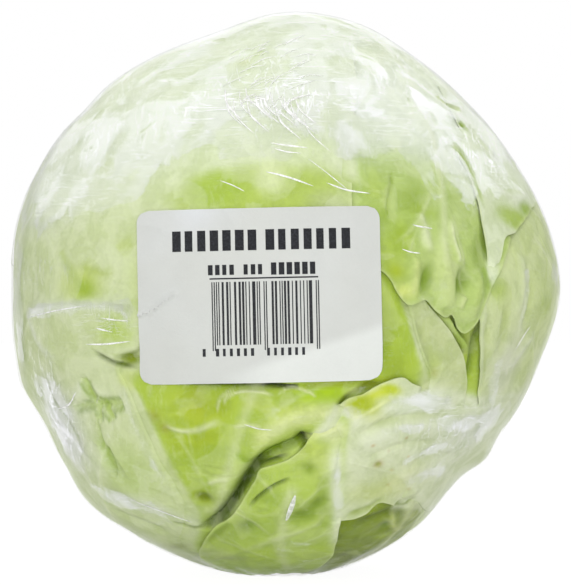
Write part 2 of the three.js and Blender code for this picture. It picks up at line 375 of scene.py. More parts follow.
class Shader:
    """The node tree of a material or of the world."""

    def __init__(self, owner: Material | bpy.types.World) -> None:
        """Empties the owner's tree."""
        owner.use_nodes = True
        self.tree = owner.node_tree
        self.tree.nodes.clear()

    def node(self, kind: str, settings: dict | None = None, inputs: dict | None = None) -> bpy.types.Node:
        """Adds a node.

        Args:
            kind: The node's type.
            settings: Its own settings, set first.
            inputs: What goes in at each socket, by name or number: a Value, a socket or a constant.

        Returns:
            The node.
        """
        node = self.tree.nodes.new(kind)
        for name, setting in (settings or {}).items():
            setattr(node, name, setting)
        for name, given in (inputs or {}).items():
            if isinstance(given, Value):
                given = given.socket
            if isinstance(given, Socket):
                self.tree.links.new(given, node.inputs[name])
            else:
                node.inputs[name].default_value = given
        return node

    def value(self, kind: str, settings: dict | None = None, inputs: dict | None = None,
              output: str | int = 0) -> Value:
        """Adds a node and gives one of its outputs as a Value."""
        return Value(self, self.node(kind, settings, inputs).outputs[output])

    def place(self) -> Socket:
        """The Object coordinates."""
        return self.node("ShaderNodeTexCoord").outputs["Object"]

    def stretched(self, scale: Triple, turn: Triple) -> Socket:
        """Object coordinates scaled along each axis after a turn in degrees."""
        turns = tuple(math.radians(angle) for angle in turn)
        inputs = {"Vector": self.place(), "Rotation": turns, "Scale": scale}
        return self.node("ShaderNodeMapping", {"vector_type": "POINT"}, inputs).outputs[0]

    def noise(self, size: float, detail: float, twist: float = 0.0, vector: Socket | None = None) -> Value:
        """Noise from about 0 to 1 whose lumps are a size (m) apart."""
        inputs = {"Vector": vector or self.place(), "Scale": 1 / size, "Detail": detail, "Distortion": twist}
        return self.value("ShaderNodeTexNoise", {}, inputs)

    def net(self, size: float, wobble: float) -> Value:
        """The distance to the nearest line of an irregular net, with cells a size (m) across."""
        vector = self.place()
        shift = self.node("ShaderNodeTexNoise", {}, {"Vector": vector, "Scale": 0.7 / size, "Detail": 2.0})
        centred = self.node("ShaderNodeVectorMath", {"operation": "SUBTRACT"},
                            {0: shift.outputs["Color"], 1: (0.5, 0.5, 0.5)})
        scaled = self.node("ShaderNodeVectorMath", {"operation": "SCALE"},
                           {0: centred.outputs[0], "Scale": wobble * size})
        moved = self.node("ShaderNodeVectorMath", {"operation": "ADD"}, {0: vector, 1: scaled.outputs[0]})
        return self.value("ShaderNodeTexVoronoi", {"feature": "DISTANCE_TO_EDGE"},
                          {"Vector": moved.outputs[0], "Scale": 1 / size})

    def attribute(self, name: str) -> Value:
        """A number kept on the mesh."""
        return self.value("ShaderNodeAttribute", {"attribute_name": name}, output="Fac")

    def rays(self, *kinds: str) -> Value:
        """1 for rays of any of these kinds, and 0 for others."""
        path = self.node("ShaderNodeLightPath")
        return functools.reduce(
            Value.at_least, (Value(self, path.outputs[f"Is {kind} Ray"]) for kind in kinds)
        )

    def colour_attribute(self, name: str) -> Socket:
        """A colour kept on the mesh."""
        return self.node("ShaderNodeAttribute", {"attribute_name": name}).outputs["Color"]

    def blend(self, share: Value, first: Socket | Colour, second: Socket | Colour) -> Socket:
        """A colour that goes from a first to a second as the share rises from 0 to 1."""
        inputs = {0: share}
        for index, colour in ((6, first), (7, second)):
            inputs[index] = (*linear(colour), 1.0) if isinstance(colour, tuple) else colour
        return self.node("ShaderNodeMix", {"data_type": "RGBA"}, inputs).outputs[2]

    def lighten(self, colour: Socket, factor: Value) -> Socket:
        """A colour times a number."""
        return self.node(
            "ShaderNodeVectorMath", {"operation": "SCALE"}, {0: colour, "Scale": factor}
        ).outputs[0]

    def bump(self, height: Value, depth: float) -> Socket:
        """A normal for a height from 0 to 1 that stands for a depth (m)."""
        return self.node(
            "ShaderNodeBump", {}, {"Strength": 1.0, "Distance": depth, "Height": height}
        ).outputs[0]

    def surface(self, inputs: dict) -> None:
        """Adds the Principled shader and the output."""
        shader = self.node("ShaderNodeBsdfPrincipled", {}, inputs)
        self.node("ShaderNodeOutputMaterial", {}, {"Surface": shader.outputs[0]})


# ---- Finishes ----


@dataclass(frozen=True)
class Finish:
    """What a surface is made of. Sizes of patterns and depths of relief are in metres."""

    name: str

    def sockets(self, shader: Shader) -> dict:
        """What goes in at each socket of the Principled shader."""
        raise NotImplementedError

    def material(self) -> Material:
        """Builds the material."""
        material = bpy.data.materials.new(self.name)
        shader = Shader(material)
        shader.surface(self.sockets(shader))
        return material


@dataclass(frozen=True)
class LeafFinish(Finish):
    """The skin of a cabbage leaf: waxy, netted with fine veins and lightly mottled."""

    vein: Colour = (222, 229, 184)
    shade: Colour = (122, 150, 44)
    mottle: float = 0.10
    roughness: float = 0.42
    gloss: float = 0.22
    broad: float = 0.028
    blotch: float = 0.006
    cloud: float = 0.013
    grain: float = 0.0011
    net: float = 0.0075
    fine_net: float = 0.0026
    depth: float = 0.0007

    def sockets(self, shader: Shader) -> dict:
        """Lays blotches, clouds and veins on the colours kept on the leaf, which hold painted shade, light
        and glare besides its own colours.
        """
        tint = shader.colour_attribute("tint")
        broad = shader.noise(self.broad, 2.0)
        blotch = shader.noise(self.blotch, 4.0, 0.4)
        cloud = shader.noise(self.cloud, 5.0, 0.7)
        grain = shader.noise(self.grain, 2.0)
        net = shader.net(self.net, 0.9)
        fine_net = shader.net(self.fine_net, 0.8)
        vein = shader.attribute("vein")
        net_line = net.ramp(0.0, 0.12, 1.0, 0.0) * broad.ramp(0.40, 0.70, 0.0, 0.55)
        fine_line = fine_net.ramp(0.0, 0.16, 1.0, 0.0) * blotch.ramp(0.35, 0.7, 0.0, 0.5)
        colour = shader.blend(blotch.ramp(0.44, 0.58) * 0.20, tint, self.shade)
        colour = shader.blend(cloud.ramp(0.50, 0.56) * 0.16, colour, self.vein)
        colour = shader.blend(net_line * 0.05 + fine_line * 0.04, colour, self.vein)
        colour = shader.blend(vein.at_most(1.0) * 0.75, colour, self.vein)
        half = self.mottle / 2
        light = 1.0 - half + grain.ramp(0.3, 0.7) * half + broad.ramp(0.3, 0.7) * half
        height = vein * 0.5 + net_line * 0.16 + fine_line * 0.10 + blotch * 0.6
        return {
            "Base Color": shader.lighten(colour, light),
            "Roughness": self.roughness + blotch * 0.22 - net_line * 0.05,
            "Normal": shader.bump(height, self.depth),
            "Specular IOR Level": self.gloss,
        }


@dataclass(frozen=True)
class FilmFinish(Finish):
    """Clear cling film: it is seen only by what it reflects, and by its wrinkles."""

    name: str = "cling_film"
    clearness: float = 0.006
    strands: float = 0.42
    rim: float = 0.44
    most: float = 0.92
    roughness: float = 0.14
    depth: float = 0.0011

    def sockets(self, shader: Shader) -> dict:
        """Makes the film denser along its strands and towards its outline, and lets it show more of what it
        reflects where glare is painted on it.
        """
        crinkle = shader.attribute("crinkle")
        across = shader.noise(1.0, 3.0, 0.4, shader.stretched((55, 55, 520), (0, 14, 0)))
        down = shader.noise(1.0, 3.0, 0.4, shader.stretched((420, 120, 60), (0, 34, 0)))
        broad = shader.noise(0.034, 3.0, 0.6)
        where = shader.noise(0.022, 2.0)
        ragged = shader.noise(0.012, 5.0, 0.62)
        height = crinkle * (across * where.ramp(0.4, 0.6) + down * where.ramp(0.6, 0.4)) * 0.8 + broad * 0.7
        normal = shader.bump(height, self.depth)
        facing = shader.value("ShaderNodeLayerWeight", {}, {"Blend": 0.5, "Normal": normal}, "Facing")
        grazing = facing.ramp(0.6, 1.0) ** 3.0
        strands = self.strand(across) * where.ramp(0.42, 0.55) + self.strand(down) * where.ramp(0.58, 0.45)
        lit = shader.attribute("painted_glare")
        shape = (lit + (ragged - 0.5) * 2.4).ramp(0.40, 0.64)
        patchy = shader.noise(0.017, 5.0, 0.6).ramp(0.44, 0.57)
        painted_glare = (shape * 0.6 + lit * lit * 0.4) * shader.attribute("glare") * (0.6 + patchy * 0.65)
        threads = strands.at_most(1.0) * self.strands
        alpha = self.clearness + painted_glare + (crinkle + lit * 0.35) * threads + grazing * self.rim
        return {
            "Base Color": (0.97, 0.98, 1.0, 1.0),
            "Metallic": 1.0,
            "Roughness": self.roughness + broad * 0.10 + crinkle * 0.06,
            "Alpha": alpha.at_most(self.most),
            "Normal": normal,
        }

    @staticmethod
    def strand(pattern: Value) -> Value:
        """Fine lines along the middle levels of a pattern."""
        return pattern.ramp(0.475, 0.5) * pattern.ramp(0.525, 0.5)


@dataclass(frozen=True)
class FoldFinish(Finish):
    """A gathered thread of film, where it lies on itself and turns white."""

    name: str = "film_fold"
    roughness: float = 0.20

    def sockets(self, shader: Shader) -> dict:
        """Breaks the white up into beads along the thread."""
        beads = shader.noise(0.003, 3.0)
        return {
            "Base Color": (1.0, 1.0, 0.99, 1.0),
            "Roughness": self.roughness + beads * 0.14,
            "Alpha": beads.ramp(0.30, 0.66, 0.30, 0.95),
        }


@dataclass(frozen=True)
class PaperFinish(Finish):
    """The label's smooth coated paper."""

    name: str = "label_face"
    roughness: float = 0.34
    gloss: float = 0.35
    depth: float = 0.00025

    def sockets(self, shader: Shader) -> dict:
        """Lays faint clouds and fibres on the colours kept on the paper, which hold painted highlights."""
        tint = shader.colour_attribute("tint")
        fibre = shader.noise(0.0006, 4.0, 0.6)
        cloud = shader.noise(0.012, 3.0)
        light = 0.975 + cloud.ramp(0.3, 0.7) * 0.03 + fibre.ramp(0.3, 0.7) * 0.015
        return {
            "Base Color": shader.lighten(tint, light),
            "Roughness": self.roughness + fibre * 0.12,
            "Specular IOR Level": self.gloss,
            "Normal": shader.bump(fibre * 0.4 + cloud * 0.6, self.depth),
        }


@dataclass(frozen=True)
class InkFinish(Finish):
    """Thermal print on the label."""

    name: str = "label_ink"
    full: Colour = (14, 16, 20)
    worn: Colour = (46, 48, 54)
    roughness: float = 0.42

    def sockets(self, shader: Shader) -> dict:
        """Speckles the ink."""
        speckle = shader.noise(0.0005, 3.0)
        return {
            "Base Color": shader.blend(speckle.ramp(0.35, 0.8), self.full, self.worn),
            "Roughness": self.roughness + speckle * 0.15,
        }


@dataclass(frozen=True)
class StemFinish(Finish):
    """The cut end of the stalk: pale rings and fibres, browned at the rim."""

    name: str = "cut_stalk"
    flesh: Colour = (226, 226, 188)
    strand: Colour = (196, 203, 143)
    brown: Colour = (158, 132, 78)
    roughness: float = 0.55
    depth: float = 0.0006

    def sockets(self, shader: Shader) -> dict:
        """Lays fibres and the browned rim on the flesh."""
        rim = shader.attribute("rim")
        fibre = shader.noise(0.0016, 4.0, 0.8)
        blotch = shader.noise(0.007, 3.0)
        colour = shader.blend(fibre.ramp(0.35, 0.7) * 0.6, self.flesh, self.strand)
        colour = shader.blend((rim + blotch.ramp(0.5, 0.8) * 0.35).at_most(1.0) * 0.7, colour, self.brown)
        return {
            "Base Color": colour,
            "Roughness": self.roughness + fibre * 0.2,
            "Normal": shader.bump(fibre * 0.7 + blotch * 0.3, self.depth),
        }


# ---- Mesh helpers ----


def deselect() -> None:
    """Leaves nothing selected."""
    bpy.ops.object.select_all(action="DESELECT")


def active(piece: Object) -> None:
    """Selects one object alone and makes it active."""
    deselect()
    piece.select_set(True)
    bpy.context.view_layer.objects.active = piece


def coordinates(piece: Object) -> Array:
    """An object's vertices, one a row."""
    flat = np.empty(len(piece.data.vertices) * 3)
    piece.data.vertices.foreach_get("co", flat)
    return flat.reshape(-1, 3)


def move_vertices(piece: Object, points: Array) -> None:
    """Puts an object's vertices at points."""
    piece.data.vertices.foreach_set("co", points.ravel())
    piece.data.update()


def keep_number(piece: Object, name: str, values: Array) -> None:
    """Keeps one number a vertex on the mesh."""
    piece.data.attributes.new(name, "FLOAT", "POINT").data.foreach_set("value", values)


def keep_colour(piece: Object, name: str, colours: Array) -> None:
    """Keeps one colour a vertex on the mesh."""
    rows = np.column_stack([colours, np.ones(len(colours))])
    piece.data.attributes.new(name, "FLOAT_COLOR", "POINT").data.foreach_set("color", rows.ravel())


def grid(name: str, cells_x: int, cells_y: int) -> Object:
    """A flat grid from -1 to 1."""
    deselect()
    bpy.ops.mesh.primitive_grid_add(x_subdivisions=cells_x, y_subdivisions=cells_y, size=2)
    piece = bpy.context.object
    piece.name = name
    return piece


def edit(action: Callable, **settings: object) -> None:
    """Does one thing to all of the active piece in edit mode."""
    bpy.ops.object.mode_set(mode="EDIT")
    bpy.ops.mesh.select_all(action="SELECT")
    action(**settings)
    bpy.ops.object.mode_set(mode="OBJECT")


def joined(parts: list[Object], name: str) -> Object:
    """Joins parts into one piece."""
    active(parts[0])
    for part in parts:
        part.select_set(True)
    bpy.ops.object.join()
    parts[0].name = name
    return parts[0]


def thicken(piece: Object, thickness: float, rim_only: bool = False) -> None:
    """Gives a sheet a wall on its inner side, or only a rim around it."""
    active(piece)
    solidify = piece.modifiers.new("wall", "SOLIDIFY")
    solidify.thickness = thickness
    solidify.offset = -1
    solidify.use_rim_only = rim_only
    bpy.ops.object.modifier_apply(modifier=solidify.name)


def dress(piece: Object, material: Material) -> None:
    """Gives a piece its one material."""
    piece.data.materials.clear()
    piece.data.materials.append(material)


def settle(piece: Object, material: Material, node: str, angle: float = 50) -> None:
    """Finishes a piece and puts it in its node's place.

    Args:
        piece: The piece.
        material: What it is dressed in.
        node: The node that it replaces.
        angle: It is shaded smoothly except at edges sharper than this, in degrees.
    """
    dress(piece, material)
    active(piece)
    bpy.ops.object.shade_smooth_by_angle(angle=math.radians(angle))
    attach(piece, BODY)
    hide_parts(node)
    piece.data.calc_loop_triangles()
    log.info("%s: %d triangles", piece.name, len(piece.data.loop_triangles))


def ball(name: str, cuts: int) -> tuple[Object, Array]:
    """A cube cut into a grid on each side, and the direction of each of its vertices."""
    deselect()
    bpy.ops.mesh.primitive_cube_add(size=2)
    piece = bpy.context.object
    piece.name = name
    edit(bpy.ops.mesh.subdivide, number_cuts=cuts)
    spread = np.tan(coordinates(piece) * math.pi / 4)
    return piece, spread / np.linalg.norm(spread, axis=1, keepdims=True)


# ---- The film's form ----


@dataclass(frozen=True)
class Relief:
    """How the stretched film rises and falls over the head. Its values are in millimetres."""

    marks: tuple[Mark, ...]
    swell: float = 0.55
    ripple: float = 0.2
    pleat: float = 0.5
    pleats: int = 17
    calm: float = 0.9
    wider: float = 1.6

    SWELL_SIZE = 0.034  # these three in metres
    RIPPLE_SIZE = 0.013
    PLEAT_SIZE = 0.02

    def label_share(self, ways: Array) -> Array:
        """1 under the label and 0 away from it, where the film lies flat."""
        middle = (LABEL_LOW + LABEL_HIGH) / 2
        half = (LABEL_HIGH - LABEL_LOW) / 2
        points = FORM.points(ways, np.zeros(len(ways)))
        inside = np.ones(len(ways))
        for axis in (0, 2):
            over = np.abs(points[:, axis] - middle[axis]) - half[axis]
            inside *= 1 - smoothstep(-0.004, 0.003, over)
        return inside * (points[:, 1] < 0)

    def at(self, ways: Array) -> Array:
        """The film's rise over the form."""
        lumps = Lumps(11)
        points = ways * FORM.half_depth
        rise = self.swell * lumps.at(points, self.SWELL_SIZE)
        rise += self.ripple * Lumps(12).at(points, self.RIPPLE_SIZE)
        for mark in self.marks:
            if mark.film:
                rise += mark.film * mark.rise * mark.shape.weight(ways, self.wider)
        rise *= 1 - self.calm * self.label_share(ways)
        lon = np.arctan2(ways[:, 0], -ways[:, 1])
        low = smoothstep(-0.80, -0.97, ways[:, 2])
        rise += self.pleat * low * np.sin(self.pleats * lon + 2.5 * lumps.at(points, self.PLEAT_SIZE))
        edge = smoothstep(0.0, 0.5, 1 - np.abs(ways[:, 2]))
        return rise * np.maximum(edge, 0.35)


# ---- The leaves ----


@dataclass(frozen=True)
class Leaf:
    """One leaf: a thin sheet around the head inside its margin.

    Layer 0 is outermost. The middle is inside the margin, and the whole margin can be seen from it.
    """

    name: str
    layer: int
    middle: Place
    margin: Path
    colour: Colour
    slot: str
    cells: int
    marks: tuple[Mark, ...] = ()
    seed: int = 1
    lump: float = 0.45
    lip: float = 0.16
    ripple: float = 0.35
    press: float = 0.65
    # How strongly painted shade darkens the leaves just outside this leaf's margin.
    seam: float = 0.3
    focus: Pair = (0.0, 0.0)
    merges: tuple[Line | Spot, ...] = ()

    SLICES = 720  # even turns around the middle at which the margin is kept
    STEEPEST = 5.0  # how fast the margin's reach may change, times its mean reach
    CALM = 24  # slices over which the margin is evened out for the inner part of the sheet
    MARGIN_SEED, NICK_SEED, LUMP_SEED, DIMPLE_SEED = 40, 60, 80, 90
    WAVE_SIZE, NICK_SIZE = 5.0, 1.9  # millimetres along the margin
    LUMP_SIZE, DIMPLE_SIZE = 0.012, 0.005  # metres
    LIP_REACH = 1.6  # millimetres in from the margin, as the next one
    RIM_REACH = 0.8
    RIM_SHARE = 0.35
    RIM = (222, 230, 176)

    def frame(self) -> Array:
        """The leaf's own axes, one a row: right, up and outward at its middle."""
        out = direction(self.middle)
        right = np.cross(out, [0.0, 0.0, 1.0])
        right = right / np.linalg.norm(right)
        return np.array([right, np.cross(right, out), out])

    def reaches(self) -> Array:
        """How far the margin is from the middle, in radians, at even turns around it."""
        path = smooth_path(self.margin, closed=True, steps=16) @ self.frame().T
        turn = np.arctan2(path[:, 1], path[:, 0]) % (2 * math.pi)
        reach = np.arccos(np.clip(path[:, 2], -1, 1))
        order = np.argsort(turn)
        even = np.arange(self.SLICES) / self.SLICES * 2 * math.pi
        table = np.interp(even, turn[order], reach[order], period=2 * math.pi)
        rows = np.column_stack([np.cos(even), np.sin(even), np.full(self.SLICES, 0.1 * self.seed)])
        arc = table[:, None] * rows * ARC_MM
        wave = Lumps(self.MARGIN_SEED + self.seed).at(arc, self.WAVE_SIZE)
        table += self.ripple / ARC_MM * (
            wave + 0.4 * Lumps(self.NICK_SEED + self.seed).at(arc, self.NICK_SIZE)
        )
        slope = self.STEEPEST * table.mean() * 2 * math.pi / self.SLICES
        for shift in range(1, 60):
            for side in (-shift, shift):
                table = np.minimum(table, np.roll(table, side) + slope * shift)
        return table

    def turn_and_reach(self, ways: Array) -> tuple[Array, Array]:
        """Each direction's turn around the middle and its angle from it."""
        local = ways @ self.frame().T
        turn = np.arctan2(local[:, 1], local[:, 0]) % (2 * math.pi)
        return turn, np.arccos(np.clip(local[:, 2], -1, 1))

    def around(self, table: Array, turn: Array) -> Array:
        """The values of a table of even turns at some turns."""
        place = turn / (2 * math.pi) * self.SLICES
        low = place.astype(int) % self.SLICES
        part = place - place.astype(int)
        return table[low] * (1 - part) + table[(low + 1) % self.SLICES] * part

    def inside(self, ways: Array) -> Array:
        """How far inside the margin each direction is, in millimetres."""
        turn, reach = self.turn_and_reach(ways)
        return (self.around(self.reaches(), turn) - reach) * ARC_MM

    def apart(self, ways: Array) -> Array:
        """1 where the margin stands off the leaves under it, and 0 where it melts into them."""
        share = np.ones(len(ways))
        for zone in self.merges:
            share = np.minimum(share, 1 - zone.weight(ways))
        return share

    def melt(self, ways: Array, inside: Array) -> Array:
        """How far the leaf has sunk towards a margin that melts into the leaves under it, from 0 to 1."""
        return (1 - self.apart(ways)) * smoothstep(6.0, 0.0, inside)

    def own_rise(self, ways: Array) -> Array:
        """The folds, hollows and lumps of this leaf alone, in millimetres."""
        points = ways * FORM.half_depth
        rise = self.lump * Lumps(self.LUMP_SEED + self.seed).at(points, self.LUMP_SIZE)
        rise += 0.3 * self.lump * Lumps(self.DIMPLE_SEED + self.seed).at(points, self.DIMPLE_SIZE)
        for mark in self.marks:
            if mark.rise:
                rise += (1 - mark.film) * mark.rise * mark.shape.weight(ways)
        return rise + self.lip * self.apart(ways) * bell(np.maximum(self.inside(ways), 0), self.LIP_REACH)

    def tint(self, ways: Array) -> Array:
        """The leaf's linear colour at each direction."""
        colour = np.tile(linear(self.colour), (len(ways), 1))
        for mark in self.marks:
            if mark.colour:
                colour = laid_over(colour, linear(mark.colour), mark.strength * mark.shape.weight(ways))
        rim = self.RIM_SHARE * self.apart(ways) * bell(np.maximum(self.inside(ways), 0), self.RIM_REACH)
        return laid_over(colour, linear(self.RIM), rim)

    def sheet(self) -> tuple[Object, Array]:
        """A grid fitted inside the margin, and the direction of each of its vertices."""
        piece = grid(self.name + "_blade", self.cells, self.cells)
        flat = coordinates(piece)[:, :2]
        x, y = (flat[:, axis] + self.focus[axis] * (1 - flat[:, axis] ** 2) for axis in (0, 1))
        wide = np.abs(x) > np.abs(y)
        radius = np.where(wide, x, y)
        other = np.where(wide, y, x)
        share = np.divide(other, radius, out=np.zeros_like(other), where=np.abs(radius) > 1e-9)
        angle = np.where(wide, share * math.pi / 4, math.pi / 2 - share * math.pi / 4)
        turn = (angle + np.where(radius < 0, math.pi, 0)) % (2 * math.pi)
        radius = np.abs(radius)
        table = self.reaches()
        weights = {i: math.exp(-((i / self.CALM) ** 2)) for i in range(-2 * self.CALM, 2 * self.CALM + 1)}
        calm = sum(weight * np.roll(table, shift) for shift, weight in weights.items())
        calm = np.minimum(calm / sum(weights.values()), table * 1.2)
        margin, broad = self.around(table, turn), self.around(calm, turn)
        reach = radius * broad + (margin - broad) * radius**5
        local = np.column_stack([np.sin(reach) * np.cos(turn), np.sin(reach) * np.sin(turn), np.cos(reach)])
        return piece, local @ self.frame()


def ribs(
    foot: Place, tip: Place, sides: int, spread: float, seed: int, strength: float = 0.6
) -> tuple[Mark, ...]:
    """A leaf's midrib and its side veins.

    Args:
        foot: Where the midrib starts, near the stalk.
        tip: Where it ends.
        sides: How many side veins leave it on each side.
        spread: How far they reach, in degrees of arc.
        seed: Seeds their irregularity.
        strength: How strongly they stand out.

    Returns:
        One mark a vein.
    """
    random = np.random.default_rng(seed)
    start, end = direction(foot), direction(tip)
    across = np.cross(start, end)
    across /= np.linalg.norm(across)
    span = math.acos(np.clip(start @ end, -1, 1))

    def at(share: float, side: float) -> Place:
        """The place at a share of the midrib and some degrees to its side."""
        angle = share * span
        along = (math.sin(span - angle) * start + math.sin(angle) * end) / math.sin(span)
        turn = math.radians(side)
        way = along * math.cos(turn) + across * math.sin(turn)
        return (math.degrees(math.atan2(way[0], -way[1])), math.degrees(math.asin(np.clip(way[2], -1, 1))))

    marks = []
    bend = random.uniform(-3, 3)
    middle = tuple(at(share, bend * math.sin(math.pi * share)) for share in np.linspace(0, 1, 7))
    marks.append(Mark(Line(middle, 1.8, fade=0.12), 0.7 * strength, (226, 232, 196), 0.9 * strength, 0.4))
    for i in range(sides):
        for side in (-1, 1):
            share = (i + 0.4 + random.uniform(-0.15, 0.15) + 0.25 * (side > 0)) / (sides + 0.5)
            reach = side * spread * (1 - 0.45 * share) * random.uniform(0.8, 1.1)
            lift = (0.20 + 0.14 * share) * random.uniform(0.8, 1.2)
            bow = random.uniform(0.02, 0.07)
            off = bend * math.sin(math.pi * share)
            path = tuple(
                at(share + lift * t + bow * math.sin(math.pi * t), off * (1 - t) + reach * t)
                for t in (0, 0.2, 0.4, 0.6, 0.8, 1)
            )
            marks.append(
                Mark(Line(path, 0.75, fade=0.35), 0.45 * strength, (220, 228, 184), 0.6 * strength, 0.3)
            )
            fork = tuple(
                at(share + lift * (0.45 + 0.5 * t) + bow, off * 0.5 + reach * (0.45 + 0.25 * t))
                for t in (0, 0.35, 0.7, 1)
            )
            marks.append(
                Mark(Line(fork, 0.5, fade=0.4), 0.3 * strength, (216, 225, 176), 0.45 * strength, 0.2)
            )
    return tuple(marks)


# ---- What is on each leaf ----

PALE = (214, 225, 184)
# A deep green: painted shade in creases and along the margins of the leaves over others.
PAINTED_SHADE = (120, 142, 42)
BROWN = (172, 140, 84)


def crease(path: Path, width: float, depth: float, colour: Colour = PAINTED_SHADE, strength: float = 0.7,
           side: Side = Side.BOTH) -> Mark:
    """A sharp fold that goes in, with painted shade in its darker colour."""
    return Mark(Line(path, width, side), -depth, colour, strength, 0.1)


def ridge(path: Path, width: float, height: float, colour: Colour = PALE, strength: float = 0.55,
          film: float = 0.7) -> Mark:
    """A fold that stands out and carries the film with it."""
    return Mark(Line(path, width), height, colour, strength, film)


def patch(place: Place, size: Pair, colour: Colour, strength: float = 0.8, turn: float = 0.0,
          edge: float = 2.0, rise: float = 0.0) -> Mark:
    """A stain or a hollow."""
    return Mark(Spot(place, size, turn, edge), rise, colour, strength, 0.2)


def blot(place: Place, size: Pair, colour: Colour, strength: float = 0.8, turn: float = 0.0,
         rise: float = 0.0) -> Mark:
    """A stain or a hollow with a crisper border."""
    return patch(place, size, colour, strength, turn, 3, rise)


def dent(path: Path, width: float, depth: float, colour: Colour = (176, 198, 106)) -> Mark:
    """A groove with a flat floor and steep sides."""
    return Mark(Line(path, width, fade=0.10, edge=5), -depth, colour, 0.9, 0.1)


LEFT_OUTER_MARKS = (
    # The pale top: partly the leaf's own paler colour, partly painted glare of the film.
    patch((-8, 80), (74, 74), (217, 228, 190), 0.9, edge=9),
    patch((-70, 12), (24, 40), (203, 213, 170), 0.6),
    patch((-3, 19.4), (30, 10.2), (173, 195, 88), 0.97, edge=8),
    blot((9.5, 17.5), (7, 5), (182, 195, 138), 0.8),
    patch((-15, 21), (9, 6), (162, 190, 60), 0.7, edge=4),
    patch((-3.2, 23.2), (4.4, 5.6), (212, 223, 168), 0.8, turn=14, edge=4),
    blot((-46, 1.5), (9, 6), (186, 204, 92), 0.85),
    patch((-31, 2), (4, 10), (184, 202, 112), 0.6),
    Mark(Line(((-52, 9), (-51, 7), (-48, 4), (-43, -1)), 1.6), 0, (166, 188, 78), 0.7),
    Mark(Line(((-47, 6), (-43, 4.5), (-39, 4), (-36, 5)), 1.3), 0, (170, 190, 88), 0.6),
    Mark(Line(((-36, 8), (-34, 9.5), (-32, 10)), 2.2), 0, (178, 196, 98), 0.6),
    patch((-44, 0.5), (4.2, 3.2), (154, 181, 48), 0.85, rise=-0.5),
    blot((-36, -8), (6.5, 4.2), (172, 196, 78), 0.9),
    blot((-34, -17.5), (5, 3.4), (200, 214, 128), 0.7),
    patch((-33.4, -13.2), (4.0, 1.9), (124, 142, 12), 1.0, turn=-6, edge=4, rise=-0.8),
    crease(((-43.5, -11.2), (-40.5, -12.8), (-38, -13.9), (-35.5, -14.5), (-31, -14.9)), 0.7, 1.1,
           (84, 102, 10), 1.0),
    crease(((-38, -13.2), (-34, -12.6), (-31, -11.4), (-30, -10.2)), 0.7, 0.7, (116, 134, 28), 0.8),
    ridge(((-47.5, -17.5), (-49.5, -20), (-53, -21.4)), 1.4, 0.5, (222, 228, 204)),
    ridge(((-44, -17.5), (-43, -20.2), (-38.5, -20.4)), 1.3, 0.5, (218, 226, 190)),
    dent(((-46.8, -17.0), (-46.3, -19.6), (-45.6, -22.3)), 1.15, 1.2),
    dent(((-54.2, -24.4), (-50.4, -23.5), (-45.4, -22.9)), 1.0, 1.1),
    dent(((-45.4, -22.9), (-41.4, -22.7), (-37.2, -22.4)), 1.35, 1.2),
    dent(((-43.4, -22.6), (-42.2, -24.2), (-41.2, -25.9)), 1.2, 1.1),
    dent(((-45.2, -22.6), (-45.3, -24.6), (-45.9, -26.4)), 0.9, 1.0),
    *(Mark(Line(path, 0.8, fade=0.1), -0.2, (136, 162, 64), 0.85, 0.0) for path in (
        ((-54.4, -25.0), (-50.4, -24.4), (-46.8, -24.0), (-46.6, -26.0)),
        ((-45.4, -17.4), (-44.8, -19.6), (-44.0, -21.6)),
        ((-37.0, -23.0), (-38.6, -23.9), (-40.2, -24.2), (-40.4, -25.8)),
        ((-45.0, -26.4), (-44.0, -24.9), (-42.2, -26.4)),
        ((-48.0, -17.6), (-47.5, -20.0), (-46.9, -22.0), (-50.0, -22.6)),
        ((-44.0, -21.4), (-41.0, -21.5), (-37.6, -21.4)))),
    crease(((-46.6, -25.3), (-46.8, -28), (-47.4, -31.4), (-48.8, -35), (-50.5, -39.5)), 0.6, 0.6,
           (156, 176, 96), 0.75),
    patch((-46.6, -35), (3.0, 6.8), (140, 172, 24), 1.0, turn=-14, edge=4, rise=-1.3),
    crease(((-45.2, -31.4), (-45.6, -34.2), (-46.8, -37.2), (-48.6, -40)), 1.6, 1.3, (84, 112, 0), 1.0,
           Side.RIGHT),
    blot((-43, -38), (11, 10), (184, 203, 124), 0.75),
    # Painted glare of the film, laid on the leaf as a near white patch.
    blot((-61, -28), (12, 15), (219, 221, 212), 0.92),
    patch((-49, -61), (5, 1.8), (150, 158, 104), 0.7, turn=-10),
    patch((-72, -10), (6, 14), (188, 202, 146), 0.7),
    patch((-69, 8), (4, 10), (190, 204, 150), 0.6),
    crease(((-66, -18), (-60, -27), (-56, -32)), 1.6, 0.9, (196, 208, 160), 0.5),
    crease(((-39.5, -51.6), (-35, -52.8), (-31, -53.4), (-27, -53.6)), 0.7, 0.9, (104, 126, 36), 0.9),
    ridge(((-52, -42), (-40, -46.5), (-34, -50), (-25, -52.5)), 2.2, 0.9, (214, 221, 196)),
    crease(((-62, -47), (-54, -52), (-44, -56)), 1.8, 0.9, (182, 196, 140), 0.5),
    ridge(((-67, -4), (-60, -3.2), (-50, -2.6), (-40, -2.4), (-34, -2)), 1.7, 0.7, (220, 226, 208)),
    ridge(((-66, -4), (-64, -6.5), (-60, -11), (-53, -13.5)), 1.5, 0.7, (222, 227, 210)),
    patch((-62, 24), (16, 12), (222, 230, 208), 0.6),
    blot((-22, -36), (8, 9), (172, 192, 70), 0.8),
    blot((-23.4, -44.6), (4.6, 3.4), (156, 176, 40), 0.85),
    patch((-23.4, -44.6), (2.6, 1.9), (118, 136, 0), 1.0, edge=4),
    patch((-14, 54), (2.0, 1.8), (202, 214, 130), 0.8),
    patch((-34, 44), (6, 1.6), (204, 217, 160), 0.5),
    ridge(((-30, 74), (-24, 52), (-12, 36), (-8, 26)), 5.0, 0.7, PALE, 0.0),
    ridge(((60, 84), (20, 60), (10, 44), (8, 30)), 4.0, 0.6, PALE, 0.0),
    *ribs((-104, -74), (-92, 62), 7, 48, 3),
)

